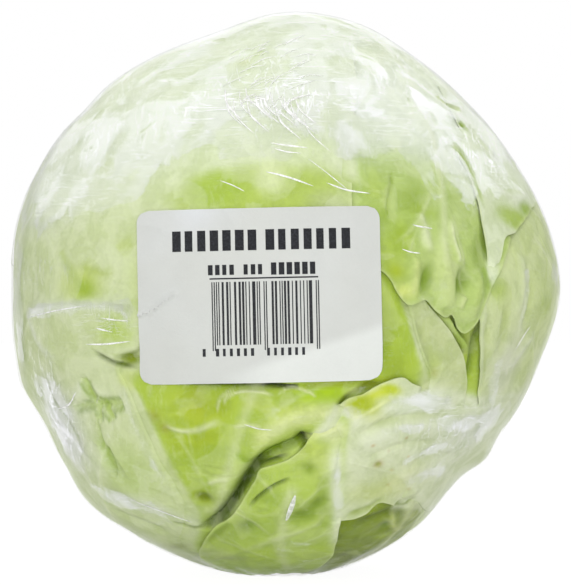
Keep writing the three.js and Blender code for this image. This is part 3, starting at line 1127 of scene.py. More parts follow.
SHOULDER_MARKS = (
    blot((62, 35), (14, 7), (204, 218, 160), 0.7, turn=-50),
    crease(((51.5, 46), (53.4, 43.8), (56.6, 42.9), (61, 42.4)), 1.2, 1.2, (138, 168, 40), 1.0),
    blot((55.4, 38.1), (1.7, 2.0), (130, 160, 30), 1.0, rise=-0.7),
    Mark(Line(((46, 33), (47.4, 29.7), (48.2, 26.6), (48.2, 22), (47.6, 16)), 1.0), -0.4, (150, 176, 60),
         0.85),
    patch((60, 15.0), (12.5, 4.2), (166, 191, 80), 1.0, turn=12, edge=4),
    blot((67.6, 17.2), (6.5, 3.8), (142, 172, 30), 1.0, turn=12),
    ridge(((50, 26), (56, 21.5), (63, 20), (74, 21.5)), 1.6, 0.9, (230, 236, 214), 0.7),
    crease(((60, 27), (62, 24.5), (66, 24)), 1.2, 0.6, (200, 214, 160), 0.5),
    ridge(((60, 62), (66, 44), (78, 30)), 3.5, 1.0, (226, 233, 210), 0.4),
    crease(((64, 58), (72, 42), (88, 28)), 2.0, 0.8, (200, 213, 164), 0.4),
    *ribs((116, 12), (64, 52), 4, 24, 5),
)

PLEATED_MARKS = (
    # The pale top: partly the leaf's own paler colour, partly painted glare of the film.
    patch((36, 54), (44, 38), (219, 229, 194), 0.9, edge=8),
    Mark(Line(((24.5, 26), (23.5, 22), (22, 18), (22, 15)), 0.55), -0.6, (140, 164, 48), 0.75),
    patch((19.5, 21), (3.5, 6), (176, 198, 90), 0.6),
    patch((21, 15.5), (3, 2.6), (144, 170, 52), 0.6),
    patch((29, 17), (6.5, 3.6), (150, 175, 62), 0.85, turn=12),
    patch((28.5, 20.5), (3.6, 3.2), (142, 166, 58), 0.6),
    patch((20.5, 8), (3.4, 6), (164, 186, 66), 0.6),
    blot((24.4, 10.5), (4.6, 6), (158, 184, 44), 0.85, turn=10),
    patch((22.5, 4.2), (3.8, 3), (164, 184, 34), 0.9),
    patch((24, 0.2), (4.2, 2.4), (208, 219, 120), 0.85),
    patch((33, 5), (9, 9), (202, 216, 146), 0.7),
    patch((39.4, 19.7), (4, 2.6), (150, 174, 76), 0.65),
    ridge(((29.2, 16.5), (29.4, 13.6), (29.9, 10.5), (30.8, 7.6)), 1.3, 1.3, (208, 219, 166), 0.85),
    blot((29.8, 11.5), (1.9, 3.4), (208, 219, 170), 0.75, turn=14),
    ridge(((27.4, 7.5), (26.6, 3), (25.4, -1.4)), 1.2, 1.2, (204, 216, 140), 0.7),
    ridge(((36.6, 15.5), (36.4, 11), (37.2, 7.5), (37.5, 5.8)), 0.7, 1.1, (214, 223, 176), 0.9),
    ridge(((33, 11), (33.6, 5), (34, 0), (34.6, -3.6)), 2.0, 1.6, (192, 209, 132), 0.5),
    ridge(((42.4, 5), (42.2, 1), (41.4, -3), (40.6, -6)), 1.8, 1.4, (186, 204, 126), 0.5),
    ridge(((38.6, -0.5), (37.4, -3.4)), 0.8, 1.1, (202, 214, 150), 0.8),
    blot((29.4, 2.8), (1.8, 4.3), (128, 154, 44), 0.9, turn=20, rise=-1.9),
    blot((38.3, 2.6), (2.2, 4.7), (118, 143, 40), 0.95, turn=20, rise=-2.4),
    blot((44.8, 9.0), (3.8, 6.2), (146, 172, 66), 0.85, turn=26, rise=-1.0),
    blot((45.4, 3.4), (3.2, 5.0), (150, 178, 76), 0.8, turn=10, rise=-0.8),
    crease(((33, -3.2), (35, -4.4), (37, -4.2)), 1.0, 0.5, (150, 172, 72), 0.5),
    patch((37, 27), (9, 4), (196, 212, 144), 0.6),
    *ribs((60, 70), (33, 4), 3, 16, 6, 0.35),
)

RIGHT_OUTER_MARKS = (
    patch((48, 0.5), (4.5, 3.2), (158, 182, 74), 0.75),
    ridge(((57, 9), (57.5, 4), (57, -1), (55, -5)), 1.1, 0.8, (216, 222, 192)),
    ridge(((66, -8), (62, -12.5), (58, -17)), 1.4, 0.7, (214, 219, 198)),
    crease(((60, 4), (60.5, -2), (59, -8)), 1.6, 0.7, (180, 194, 124), 0.5),
    patch((69, -2), (4.5, 4), (162, 184, 84), 0.85),
    patch((65, 5.5), (3.5, 3), (176, 194, 112), 0.6),
    patch((57, -16), (9, 13), (207, 211, 188), 0.85),
    patch((80, -24), (12, 16), (194, 202, 160), 0.7),
    Mark(Line(((44.5, 0), (45, -8), (47, -15), (49, -22)), 1.4), 0.4, (162, 182, 84), 0.7),
    crease(((51, -2), (52, -8), (53, -14)), 2.0, 0.7, (176, 192, 112), 0.4),
    ridge(((48, -22), (54, -26), (62, -30)), 2.0, 0.8, (214, 219, 198), 0.5),
    *ribs((98, -66), (80, 22), 5, 26, 7),
)

LOWER_RIGHT_MARKS = (
    Mark(Line(((13, -24), (16, -22.2), (20, -20.8), (26, -19.6)), 2.4), 0, (200, 212, 50), 0.9),
    patch((17, -24.5), (6, 2.4), (216, 224, 120), 0.7, turn=15),
    ridge(((13, -27), (20, -24.6), (30, -23), (44, -24)), 2.0, 1.1, (226, 232, 208)),
    crease(((15, -30), (24, -26.8), (34, -26.2), (44, -28)), 1.4, 0.9, (190, 202, 144), 0.5),
    ridge(((14, -34), (24, -30), (38, -29), (52, -31)), 2.4, 0.9, (219, 225, 200)),
    crease(((20, -35), (30, -32.6), (44, -33.5)), 1.2, 0.6, (198, 208, 160), 0.45),
    crease(((34, -38), (44, -37), (56, -38)), 1.4, 0.7, (196, 204, 160), 0.45),
    ridge(((30, -41), (42, -41), (56, -43)), 2.0, 0.7, (216, 220, 202), 0.5),
    patch((24, -37), (1.5, 1.3), BROWN, 0.75),
    patch((24, -37), (0.8, 0.7), (150, 168, 70), 0.8, rise=-0.3),
    patch((21, -32), (0.7, 0.6), (188, 160, 96), 0.8),
    patch((30, -31), (0.6, 0.6), BROWN, 0.7),
    patch((29, -39), (0.6, 0.5), (196, 160, 70), 0.8),
    patch((30, -43), (0.8, 0.6), BROWN, 0.7),
    patch((39, -45), (0.9, 0.6), BROWN, 0.6),
    patch((39, -23), (0.8, 0.9), (176, 180, 150), 0.7),
    patch((52, -21), (0.7, 0.9), BROWN, 0.6),
    patch((33, -36), (0.45, 0.4), (200, 170, 80), 0.8),
    patch((26, -34), (0.4, 0.4), BROWN, 0.6),
    patch((23, -45), (11, 4.5), (194, 206, 124), 0.7, turn=5),
    patch((34, -42), (8, 6), (202, 210, 130), 0.7),
    crease(((18.5, -50.5), (24, -50), (28, -48.8), (31, -46.5)), 1.8, 0.8, (156, 176, 74), 0.8),
    crease(((36, -48.8), (40, -50), (43, -49.6), (45, -47.8)), 0.8, 1.1, (120, 142, 52), 0.85),
    ridge(((38, -47), (44, -46)), 1.2, 0.7, (218, 224, 188)),
    patch((52, -32), (14, 12), (212, 216, 204), 0.7),
    blot((31, -23.2), (9, 3.2), (230, 236, 216), 0.9, turn=-14),
    blot((16.8, -22.6), (6.2, 2.8), (172, 188, 0), 1.0, turn=24),
    blot((23, -19.8), (4.2, 1.7), (190, 206, 30), 0.9, turn=14),
    Mark(Line(((13.5, -25.9), (17, -24.9), (20.6, -23.0), (25, -21)), 0.6), 0.5, (228, 234, 170), 0.7),
    *ribs((96, -56), (20, -30), 3, 14, 8, 0.35),
)

LOWER_FRONT_MARKS = (
    patch((6, -33), (12, 3.6), (186, 206, 62), 0.75, turn=18),
    patch((9, -35.5), (7, 6), (198, 212, 134), 0.65),
    Mark(Line(((16.5, -26), (17, -33), (18.4, -40), (20.6, -48), (24, -56)), 3.6, fade=0.1), 0,
         (213, 221, 184), 0.95),
    Mark(Line(((11.4, -29), (12.2, -35), (13.6, -42), (16.6, -50), (20.4, -60), (25, -70)), 2.3), 0.9,
         (224, 231, 200), 0.95, 0.6),
    Mark(Line(((9, -38), (10, -44), (12, -50), (14, -58)), 1.6), -0.9, (160, 182, 82), 0.5, 0.3),
    patch((6, -37.5), (2.4, 2.0), (138, 162, 48), 0.9, turn=25, rise=-0.7),
    patch((5, -50), (4.2, 2.6), (112, 138, 34), 0.85, turn=-10, rise=-1.0),
    patch((9, -46.8), (2.4, 3.4), (112, 138, 34), 0.85, turn=35, rise=-1.0),
    patch((-13, -53), (4.0, 3.2), (112, 138, 44), 0.8, turn=-35, rise=-1.0),
    patch((-4, -45), (9, 3.6), (156, 182, 66), 0.6, turn=25),
    crease(((1.5, -39.5), (-1, -40.6), (-4, -42), (-8, -45), (-11, -48)), 0.65, 1.0, (92, 112, 30), 0.85),
    ridge(((-4, -47), (-1, -52), (2, -55)), 1.4, 0.9, (182, 200, 110)),
    ridge(((-48, -69), (-42, -67.5), (-30, -65), (-19, -62), (-3, -57), (9, -53), (15, -48)), 1.2, 0.7,
          (196, 210, 142), 0.8),
    ridge(((-50, -66), (-38, -62.5), (-24, -57), (-12, -50)), 1.8, 0.7, (178, 196, 108), 0.5),
    crease(((-36, -61), (-26, -56.5), (-17, -51.5)), 1.1, 0.7, (118, 140, 44), 0.6),
    # Painted light: a brighter green low on the front, to make up for the weak light there.
    patch((-2, -66), (34, 8), (182, 206, 72), 0.8, edge=4),
    blot((10.5, -28.6), (5, 3.6), (224, 231, 178), 0.9),
    ridge(((3, -33), (6, -29.6), (9, -27.8), (13, -27)), 1.3, 1.0, (222, 230, 160)),
    patch((-38, -63), (9, 4), (196, 206, 156), 0.7, turn=10),
    patch((-27, -66), (6, 2.6), (150, 160, 108), 0.5),
    *ribs((4, -76), (2, -40), 3, 18, 9, 0.3),
)

FRONT_MARKS = (
    patch((-20, -24), (9, 8), (176, 193, 50), 0.7),
    blot((-23, -30), (7, 6), (166, 188, 44), 0.8, turn=-30),
    blot((8, -20.6), (7.5, 3.2), (168, 202, 0), 0.95),
    patch((-7, -22), (3.4, 2.4), (174, 194, 40), 0.8),
    patch((-14, -23), (2.4, 3.4), (158, 176, 0), 0.6, turn=30),
    patch((-18, -30), (5, 2.4), (156, 176, 10), 0.6, turn=-20),
    patch((2, -24), (9, 3), (196, 213, 84), 0.5),
    ridge(((-9, -32), (-4, -28.8), (1, -26), (8, -24), (13, -24)), 3.0, 1.5, (217, 226, 158), 0.9),
    ridge(((-20, -47), (-15, -41), (-9, -35), (-5, -31)), 2.6, 1.2, (186, 205, 118), 0.6),
    Mark(Line(((-13.4, -23), (-12.4, -21), (-9, -19.8), (-5, -20), (-2, -21)), 0.5), 0.35, (206, 219, 140),
         0.75),
    Mark(Line(((-15, -24.5), (-13.6, -21), (-10, -18.8)), 0.4), 0.3, (202, 216, 136), 0.6),
    Mark(Line(((-2, -21), (1, -19), (5, -20), (6.4, -21.2)), 0.5), 0.35, (202, 217, 124), 0.7),
    Mark(Line(((-28, -26.6), (-24, -28), (-20, -28), (-17, -27), (-14, -25.8)), 0.8), 0.4, (204, 217, 146),
         0.75),
    Mark(Line(((-21, -41), (-17.5, -39.6), (-14, -39)), 0.9), 0.4, (202, 215, 150), 0.7),
    Mark(Line(((-12, -27.5), (-8, -27), (-5, -27.4)), 0.7), 0.3, (204, 216, 146), 0.6),
    Mark(Line(((-21, -36), (-17, -37), (-13, -36.6)), 0.6), -0.4, (150, 172, 52), 0.5),
    Mark(Line(((-22, -37.6), (-17, -38.6), (-12.5, -38.2)), 0.5), -0.4, (148, 170, 52), 0.5),
    patch((-10.5, -34), (4.2, 1.7), (144, 174, 42), 0.8, turn=38, rise=-0.5),
    patch((-16, -33), (4, 3), (158, 182, 60), 0.6),
    patch((-19, -21.5), (2.6, 4.2), (160, 174, 30), 0.6),
    patch((-30, -25), (2.6, 2.0), (150, 146, 62), 0.55),
    patch((-27.5, -27.5), (1.6, 1.4), (156, 132, 66), 0.5),
    patch((-22, -48), (8, 4), (196, 208, 152), 0.6),
    patch((-31, -34), (5, 9), (174, 194, 92), 0.6, turn=-25),
    # Painted shadow of the label's bottom edge on the leaf under it, along a shallow crease.
    crease(((-24, -17.6), (-14, -18.3), (-6, -18.5), (2, -18.8)), 1.6, 1.2, (120, 146, 20), 0.7),
    Mark(Line(((-22, -17.7), (-14, -18.2), (-7, -18.45), (0, -18.8), (3, -18.8)), 0.75, fade=0.1, edge=4),
         -0.8, (34, 46, 0), 1.0, 0.0),
    crease(((2, -18.6), (10, -18.4), (16, -18.2)), 0.9, 0.7, (146, 160, 14), 0.8),
    # Painted shade in the slit under the lower right leaf's margin.
    crease(((10.8, -25), (11.6, -23.2), (14, -21), (17.2, -19.9), (20.6, -17.9)), 1.0, 0.8, (74, 90, 0),
           0.95),
    patch((18.5, -19.4), (5.0, 2.0), (140, 152, 10), 0.95, turn=18, rise=-1.6),
    patch((15, -20.3), (2.4, 1.6), (206, 217, 140), 0.8),
    # The crevice under the lower front leaf's margin: a deep hollow whose darkness is painted shade.
    Mark(Line(((-30, -53.4), (-24, -53.0), (-19.6, -50.4), (-14.3, -45.8), (-10.6, -41.2), (-8, -37.6),
               (-6, -35.6), (-3.4, -34), (0, -32.8), (4, -31.2), (8, -28.6)), 2.4, Side.LEFT, 0.12), -4.0,
         (112, 138, 20), 0.92, 0.08),
    Mark(Line(((-32, -53.8), (-25, -53.6), (-20, -51.6), (-15.6, -47.6), (-12, -43.6), (-8.6, -39.6),
               (-6.9, -37.4), (-5, -36), (-2, -35), (1.6, -33.6)), 1.1, fade=0.1), -1.2,
         (58, 78, 0), 0.95, 0.0),
    patch((4.4, -31.0), (1.5, 3.0), (40, 52, 8), 0.9, turn=-25, rise=-2.5),
    patch((20, -8), (3.4, 9), (146, 168, 46), 0.8),
    patch((19, -12), (3, 3), (132, 160, 26), 0.6),
    patch((23.5, -15), (5, 4), (158, 180, 46), 0.7),
    patch((22, -18.3), (4, 1.6), (166, 182, 20), 0.8),
    blot((41, -9), (9, 9), (176, 198, 78), 0.9, rise=-2.6),
    ridge(((33, -4.5), (36, -7.0), (39.5, -9.6), (43.4, -12.8)), 1.5, 3.0, (172, 195, 98), 0.95, 0.0),
    # Painted shade in the dark V-shaped hollow.
    crease(((30, -2.5), (34.4, -7), (38.4, -11), (41, -14), (43, -19)), 0.9, 2.0, (66, 84, 16), 0.95),
    crease(((46, -6), (45, -12), (44, -19)), 1.2, 1.2, (100, 122, 24), 0.8),
    blot((-23.2, -44.6), (4.8, 3.5), (156, 178, 40), 0.9, rise=-0.3),
    patch((-23.2, -44.6), (2.7, 2.0), (112, 130, 0), 1.0, edge=4, rise=-0.8),
    *ribs((-30, -60), (6, 10), 3, 20, 10, 0.25),
)

FOLDED_MARKS = (
    ridge(((23.6, -2), (25.6, -7), (29, -13), (33, -20)), 1.5, 1.0, (208, 218, 172), 0.85),
    ridge(((29, -2.5), (33.5, -6.6), (37.5, -10.6), (40.4, -14), (42, -20)), 1.7, 0.9, (196, 207, 150), 0.6),
    crease(((27.5, -5), (30.5, -11), (34.5, -18)), 2.0, 0.5, (182, 196, 126), 0.5),
    patch((33, -15), (3.6, 4), (180, 198, 112), 0.7, turn=-30),
    patch((34, -21), (7, 3), (210, 219, 168), 0.8),
    patch((33.5, -16.5), (1.6, 1.4), (190, 190, 120), 0.5),
)

BASE_RIGHT_MARKS = (
    # Painted shade low on the head, above where it rests.
    patch((54, -70), (9, 4.5), (84, 96, 40), 0.85),
    patch((39, -56), (3.0, 2.2), (98, 124, 28), 0.9, turn=-20, rise=-0.8),
    # Painted shade low on the head, above where it rests.
    patch((30, -66), (2.4, 2.2), (86, 100, 44), 0.8),
    patch((26, -56), (5, 4), (132, 152, 52), 0.6),
    ridge(((36, -50), (40, -53.5), (46, -57), (60, -60)), 1.2, 0.8, (190, 200, 116), 0.8),
    ridge(((43, -52), (50, -54), (60, -55.5)), 2.4, 0.7, (186, 196, 132), 0.7),
    patch((44, -60), (4, 1.6), (168, 190, 44), 0.7),
    crease(((22, -54), (32, -52), (40, -51.5), (52, -55)), 1.6, 1.0, (92, 108, 34), 0.8),
    *ribs((60, -76), (46, -50), 2, 12, 12, 0.4),
)

LEAVES = (
    Leaf("left_outer_leaf", 0, (-66, 12), (
        (12, -12), (14, 17), (16, 34), (21, 46), (24, 54), (38, 62), (70, 74), (140, 75), (178, 67),
        (-158, 67), (-148, 53), (-134, 45), (-131, 29), (-121, 14), (-128, -3), (-119, -20), (-128, -35),
        (-119, -50), (-124, -65), (-90, -78), (-56, -72), (-42, -61), (-29, -51), (-28.2, -44), (-30.2, -31),
        (-33, -21), (-34.4, -16.4), (-27, -14), (-8, -10),
    ), (202, 213, 162), "pale_leaf", 255, LEFT_OUTER_MARKS, 1, press=0.6, seam=0.3, focus=(0.30, -0.20),
         merges=(Line(((-18, -12), (-28, -13.6), (-34.5, -16), (-33, -21), (-30, -31), (-27, -43),
                       (-29, -50), (-36, -57), (-44, -62), (-58, -72)), 7, fade=0.03),
                 Line(((14.4, 22), (15.4, 28), (16, 34), (17.6, 39)), 4, fade=0.1),
                 Line(((24, 53), (36, 62), (70, 75), (110, 77)), 6, fade=0.15))),
    Leaf("shoulder_leaf", 0, (57, 34), (
        (58, 47), (54.5, 41.5), (53.2, 37), (48.5, 33.5), (46.2, 30), (47, 26), (46.6, 20), (45.9, 15),
        (46.1, 10), (46.3, 5), (47.8, 2.2), (49.6, 3.4), (50.6, 6.4), (51, 9.4), (53, 11.6), (57, 12.4),
        (63, 15), (71.7, 18), (80, 20), (89, 26), (101, 34), (105, 48), (90, 61), (70, 58),
    ), (216, 226, 190), "pale_leaf", 170, SHOULDER_MARKS, 2, press=0.6, seam=0.45, focus=(-0.2, -0.1),
         merges=(Spot((47, 3.0), (6, 5), 0, 3),
                 Line(((53.5, 37), (50, 34.5), (46.4, 31.4)), 3, fade=0.1),
                 Line(((60, 49), (70, 59), (90, 62), (106, 49), (102, 34), (92, 28)), 6, fade=0.04))),
    Leaf("lower_front_leaf", 0, (-2, -53), (
        (7, -28.2), (9.4, -26.8), (12.4, -26.2), (14, -28.4), (13.8, -33), (15, -43), (18, -53), (25, -70),
        (20, -80), (-20, -82), (-60, -80), (-60, -73), (-42, -64), (-33, -59), (-24, -53.4), (-19, -51),
        (-14.9, -48), (-11, -44), (-7.6, -39.6), (-6.2, -37), (-2.5, -36.2), (1, -35), (4, -32.6),
    ), (180, 203, 92), "green_leaf", 200, LOWER_FRONT_MARKS, 3, seam=0.12,
         merges=(Line(((4, -31), (7, -28.4), (9.4, -26.8), (12.4, -26.2), (14, -28.4), (14, -32),
                       (14.4, -38), (15.6, -45), (18.2, -53)), 4.6, fade=0.05),)),
    # Painted light: its colour is lightened to make up for the weaker light at the back.
    Leaf("back_base_leaf", 0, (172, -42), (
        (128, -30), (150, -14), (176, -8), (-160, -20), (-140, -46), (-144, -72), (178, -75), (132, -72),
        (118, -54),
    ), (203, 215, 154), "green_leaf", 96, ribs((176, -78), (166, -16), 5, 30, 21, 0.9), 4, ripple=1.8),
    Leaf("pleated_leaf", 1, (38, 36), (
        (18, 5), (20.8, 3.0), (22.5, 0), (24.8, -2.3), (27, -2.2), (29, -1.6), (31.4, -3.7), (34, -5),
        (36, -4.6), (37.7, -7.4), (40.1, -8.3), (42.8, -6.6), (44, -3.6), (46, 0.4), (52, 8), (66, 24),
        (88, 50), (60, 74), (-10, 66), (2, 40), (6, 14), (12, 6),
    ), (176, 198, 112), "green_leaf", 238, PLEATED_MARKS, 5, ripple=0.15, focus=(0, -0.22), press=0.9),
    Leaf("lower_right_leaf", 1, (34, -36), (
        (11.5, -23.2), (9, -27), (6, -33), (5, -42), (8, -53), (18, -52.6), (26, -51), (31, -48),
        (41, -50.5), (52, -52), (66, -56), (80, -56), (88, -48), (86, -34), (72, -23), (50, -23.5),
        (44.5, -22.8), (40, -21.6), (35, -20.8),
        (31.6, -20), (28.5, -18.8), (25.6, -17.4), (21.6, -18.3), (17.2, -20.4), (14, -21.2),
    ), (213, 221, 184), "pale_leaf", 190, LOWER_RIGHT_MARKS, 6,
         merges=(Line(((30, -19), (38, -21), (49, -22.6), (60, -22), (72, -22), (88, -32), (90, -48),
                       (76, -58), (58, -53.5), (46, -51), (36, -50)), 7, fade=0.04),
                 Line(((11.5, -22.6), (9.6, -26), (7, -31)), 3.4, fade=0.1))),
    # Painted light: its colour is lightened to make up for the weaker light at the back.
    Leaf("back_right_leaf", 1, (138, 0), (
        (104, -2), (104, -36), (130, -66), (172, -62), (-166, -20), (-170, 26), (166, 48), (130, 42),
        (110, 24),
    ), (206, 218, 158), "green_leaf", 110, ribs((150, -70), (134, 40), 7, 34, 22, 0.9), 7, ripple=1.8),
    Leaf("right_outer_leaf", 2, (84, -8), (
        (40, 6), (43, -1), (43.4, -4), (44.5, -8.3), (46.4, -14.5), (49, -21.4), (51, -26), (54, -42),
        (74, -62), (110, -66), (116, -51), (124, -38), (118, -22), (126, -8), (118, 6), (122, 20), (112, 34),
        (103, 46), (74, 44), (58, 24),
    ), (200, 213, 150), "grey_leaf", 160, RIGHT_OUTER_MARKS, 8, seam=0.15, focus=(-0.2, 0),
         merges=(Line(((50, -25), (54, -42), (64, -55), (78, -63), (100, -66)), 7, fade=0.05),
                 Line(((98, 46), (110, 38), (120, 20), (122, 0), (121, -22), (122, -40), (112, -60)), 8,
                      fade=0.04))),
    Leaf("folded_leaf", 2, (35, -18), (
        (22.4, 2), (24.3, -2), (26, -7), (29, -13), (31.4, -18), (34, -34), (46, -32), (44.6, -21),
        (42, -15.4), (38.6, -10.8), (33.5, -5.7), (29.4, -2), (27, 2),
    ), (192, 203, 146), "grey_leaf", 110, FOLDED_MARKS, 9, ripple=0.1,
         merges=(Line(((22, 2), (24.5, -4), (28, -12), (31, -18), (34, -30)), 3.4, fade=0.04),)),
    # Painted light: its colour is lightened to make up for the weaker light at the back.
    Leaf("back_left_leaf", 2, (-132, 2), (
        (-92, 22), (-96, -20), (-100, -60), (-140, -72), (172, -52), (168, -4), (178, 42), (-140, 58),
        (-104, 48),
    ), (203, 216, 152), "green_leaf", 110, ribs((-150, -70), (-140, 46), 7, 34, 23, 0.9), 10, ripple=1.8),
    Leaf("front_leaf", 3, (-10, -18), (
        (40, 10), (52, -2), (56, -18), (50, -32), (26, -44), (2, -48), (-22, -66), (-50, -60), (-56, -36),
        (-50, -6), (-30, 16), (0, 22),
    ), (172, 196, 72), "green_leaf", 222, FRONT_MARKS, 11),
    Leaf("base_right_leaf", 3, (44, -58), (
        (8, -56), (24, -42), (48, -40), (76, -48), (92, -62), (92, -76), (42, -82), (8, -76),
    ), (128, 147, 34), "olive_leaf", 100, BASE_RIGHT_MARKS, 12),
    Leaf("back_crown_leaf", 3, (-172, 58), (
        (104, 28), (124, 26), (160, 16), (-160, 20), (-118, 36), (-84, 60), (-20, 72), (64, 70), (84, 52),
    ), (200, 214, 150), "pale_leaf", 96, ribs((-176, 20), (10, 80), 5, 30, 24, 0.8), 13, ripple=1.8),
)

FILM_MARKS = tuple(mark for leaf in LEAVES for mark in leaf.marks if mark.rise)


# ---- The head ----


@dataclass
class Head:
    """The leaves in their order, packed under the film. Its sizes are in millimetres."""

    leaves: tuple[Leaf, ...]
    relief: Relief
    first_depth: float = 0.5
    skin: float = 0.15
    shoulder: float = 5.0
    gap: float = 0.60
    wall: float = 0.40
    sink: float = 1.3
    overlap: float = 0.4
    # How far that painted seam shade reaches, in millimetres.
    seam_shade_reach: float = 0.9
    melt_reach: float = 2.4
    inner_depth: float = 7.0
    inner_gap: float = 2.0

    def over(self, leaf: Leaf) -> list[Leaf]:
        """The leaves that may lie over one."""
        return [other for other in self.leaves if other.layer < leaf.layer]

    def free_rise(self, leaf: Leaf, ways: Array, film: Array, inside: dict[str, Array]) -> Array:
        """Where a leaf would lie if nothing pressed on it, in millimetres over the form."""
        sunk = sum(
            other.press * (0.3 + 0.7 * other.apart(ways))
            * smoothstep(-self.shoulder, 0.5, inside[other.name])
            for other in self.over(leaf)
        )
        own = inside[leaf.name] if leaf.name in inside else leaf.inside(ways)
        free = film - self.first_depth - sunk + leaf.own_rise(ways) - self.sink * leaf.melt(ways, own)
        return np.minimum(free, film - self.skin)

    def pressed(
        self, rise: Array, overs: list[Leaf], ways: Array, film: Array, inside: dict[str, Array]
    ) -> Array:
        """Holds a sheet under the leaves over it."""
        rise = rise.copy()
        for upper in overs:
            near = np.flatnonzero(inside[upper.name] > -self.overlap)
            if not len(near):
                continue
            local = {name: values[near] for name, values in inside.items()}
            between = sum(
                (local[other.name] > -self.overlap).astype(float)
                for other in overs if other.layer > upper.layer
            )
            ceiling = self.free_rise(upper, ways[near], film[near], local) - self.gap * (1 + between)
            ceiling += (self.sink + 2 * self.gap) * upper.melt(ways[near], local[upper.name])
            rise[near] = np.minimum(rise[near], ceiling)
        return rise

    def insides(self, overs: list[Leaf], ways: Array) -> dict[str, Array]:
        """How far inside each leaf's margin each direction is."""
        return {leaf.name: leaf.inside(ways) for leaf in overs}

    def build_leaf(self, leaf: Leaf, material: Material) -> None:
        """Builds, dresses and settles one leaf."""
        piece, ways = leaf.sheet()
        overs = self.over(leaf)
        inside = self.insides(overs, ways)
        film = self.relief.at(ways)
        rise = self.pressed(self.free_rise(leaf, ways, film, inside), overs, ways, film, inside)
        move_vertices(piece, FORM.points(ways, rise * MM))
        tint = leaf.tint(ways)
        for other in overs:
            outside = np.minimum(inside[other.name], 0)
            apart = other.apart(ways)
            # Painted shade: just outside each upper leaf's margin, the leaf under it is darkened towards
            # deep green.
            tint = laid_over(tint, linear(PAINTED_SHADE), other.seam * apart * bell(outside, self.seam_shade_reach))
            melted = (1 - apart) * bell(outside, self.melt_reach)
            near = np.flatnonzero(melted > 0.01)
            if len(near):
                tint[near] = laid_over(tint[near], other.tint(ways[near]), melted[near])
        keep_colour(piece, "tint", tint)
        vein = np.zeros(len(ways))
        for mark in leaf.marks:
            if isinstance(mark.shape, Line) and 0 < mark.rise < 0.5:
                vein = np.maximum(vein, mark.strength * mark.shape.weight(ways, 0.7))
        keep_number(piece, "vein", vein)
        self.face_outwards(piece)
        thicken(piece, self.wall * MM, rim_only=True)
        settle(piece, material, leaf.name)

    def face_outwards(self, piece: Object) -> None:
        """Turns a sheet's faces away from the middle of the head."""
        mesh = piece.data
        normal = np.empty(len(mesh.polygons) * 3)
        middle = np.empty(len(mesh.polygons) * 3)
        mesh.polygons.foreach_get("normal", normal)
        mesh.polygons.foreach_get("center", middle)
        out = middle.reshape(-1, 3) - [0, 0, FORM.centre]
        if np.sum(normal.reshape(-1, 3) * out) < 0:
            active(piece)
            edit(bpy.ops.mesh.flip_normals)

    def build_inner_head(self, material: Material) -> None:
        """Builds the tight ball of inner leaves, of which only glimpses show."""
        piece, ways = ball("inner_head_ball", 40)
        film = self.relief.at(ways)
        inside = self.insides(list(self.leaves), ways)
        points = ways * FORM.half_depth
        rise = film - self.inner_depth + 0.8 * Lumps(31).at(points, 0.03)
        rise = self.pressed(rise, list(self.leaves), ways, film, inside) - self.inner_gap
        move_vertices(piece, FORM.points(ways, rise * MM))
        pale = 0.5 + 0.5 * Lumps(32).at(points, 0.02)
        keep_colour(piece, "tint", laid_over(linear((150, 168, 78)), linear((196, 206, 130)), pale))
        keep_number(piece, "vein", np.zeros(len(ways)))
        settle(piece, material, "inner_head")
        bare = np.mean(np.all([values < 0 for values in inside.values()], axis=0))
        log.info("share of the head with no leaf over it: %.3f", bare)

    def build(self) -> None:
        """Builds every leaf and the ball inside them."""
        finishes = {
            "pale_leaf": LeafFinish("pale_leaf_skin", vein=(232, 237, 212), shade=(150, 172, 78),
                                    roughness=0.40),
            "green_leaf": LeafFinish("green_leaf_skin"),
            "grey_leaf": LeafFinish("waxy_leaf_skin", vein=(220, 226, 196), shade=(134, 158, 70),
                                    roughness=0.46),
            "olive_leaf": LeafFinish("olive_leaf_skin", vein=(186, 196, 118), shade=(72, 90, 26),
                                     mottle=0.16),
            "inner_leaves": LeafFinish("inner_leaf_skin", vein=(224, 228, 176), shade=(110, 130, 44)),
        }
        skins = {slot: finish.material() for slot, finish in finishes.items()}
        for leaf in self.leaves:
            self.build_leaf(leaf, skins[leaf.slot])
        self.build_inner_head(skins["inner_leaves"])


# ---- The cut stalk ----


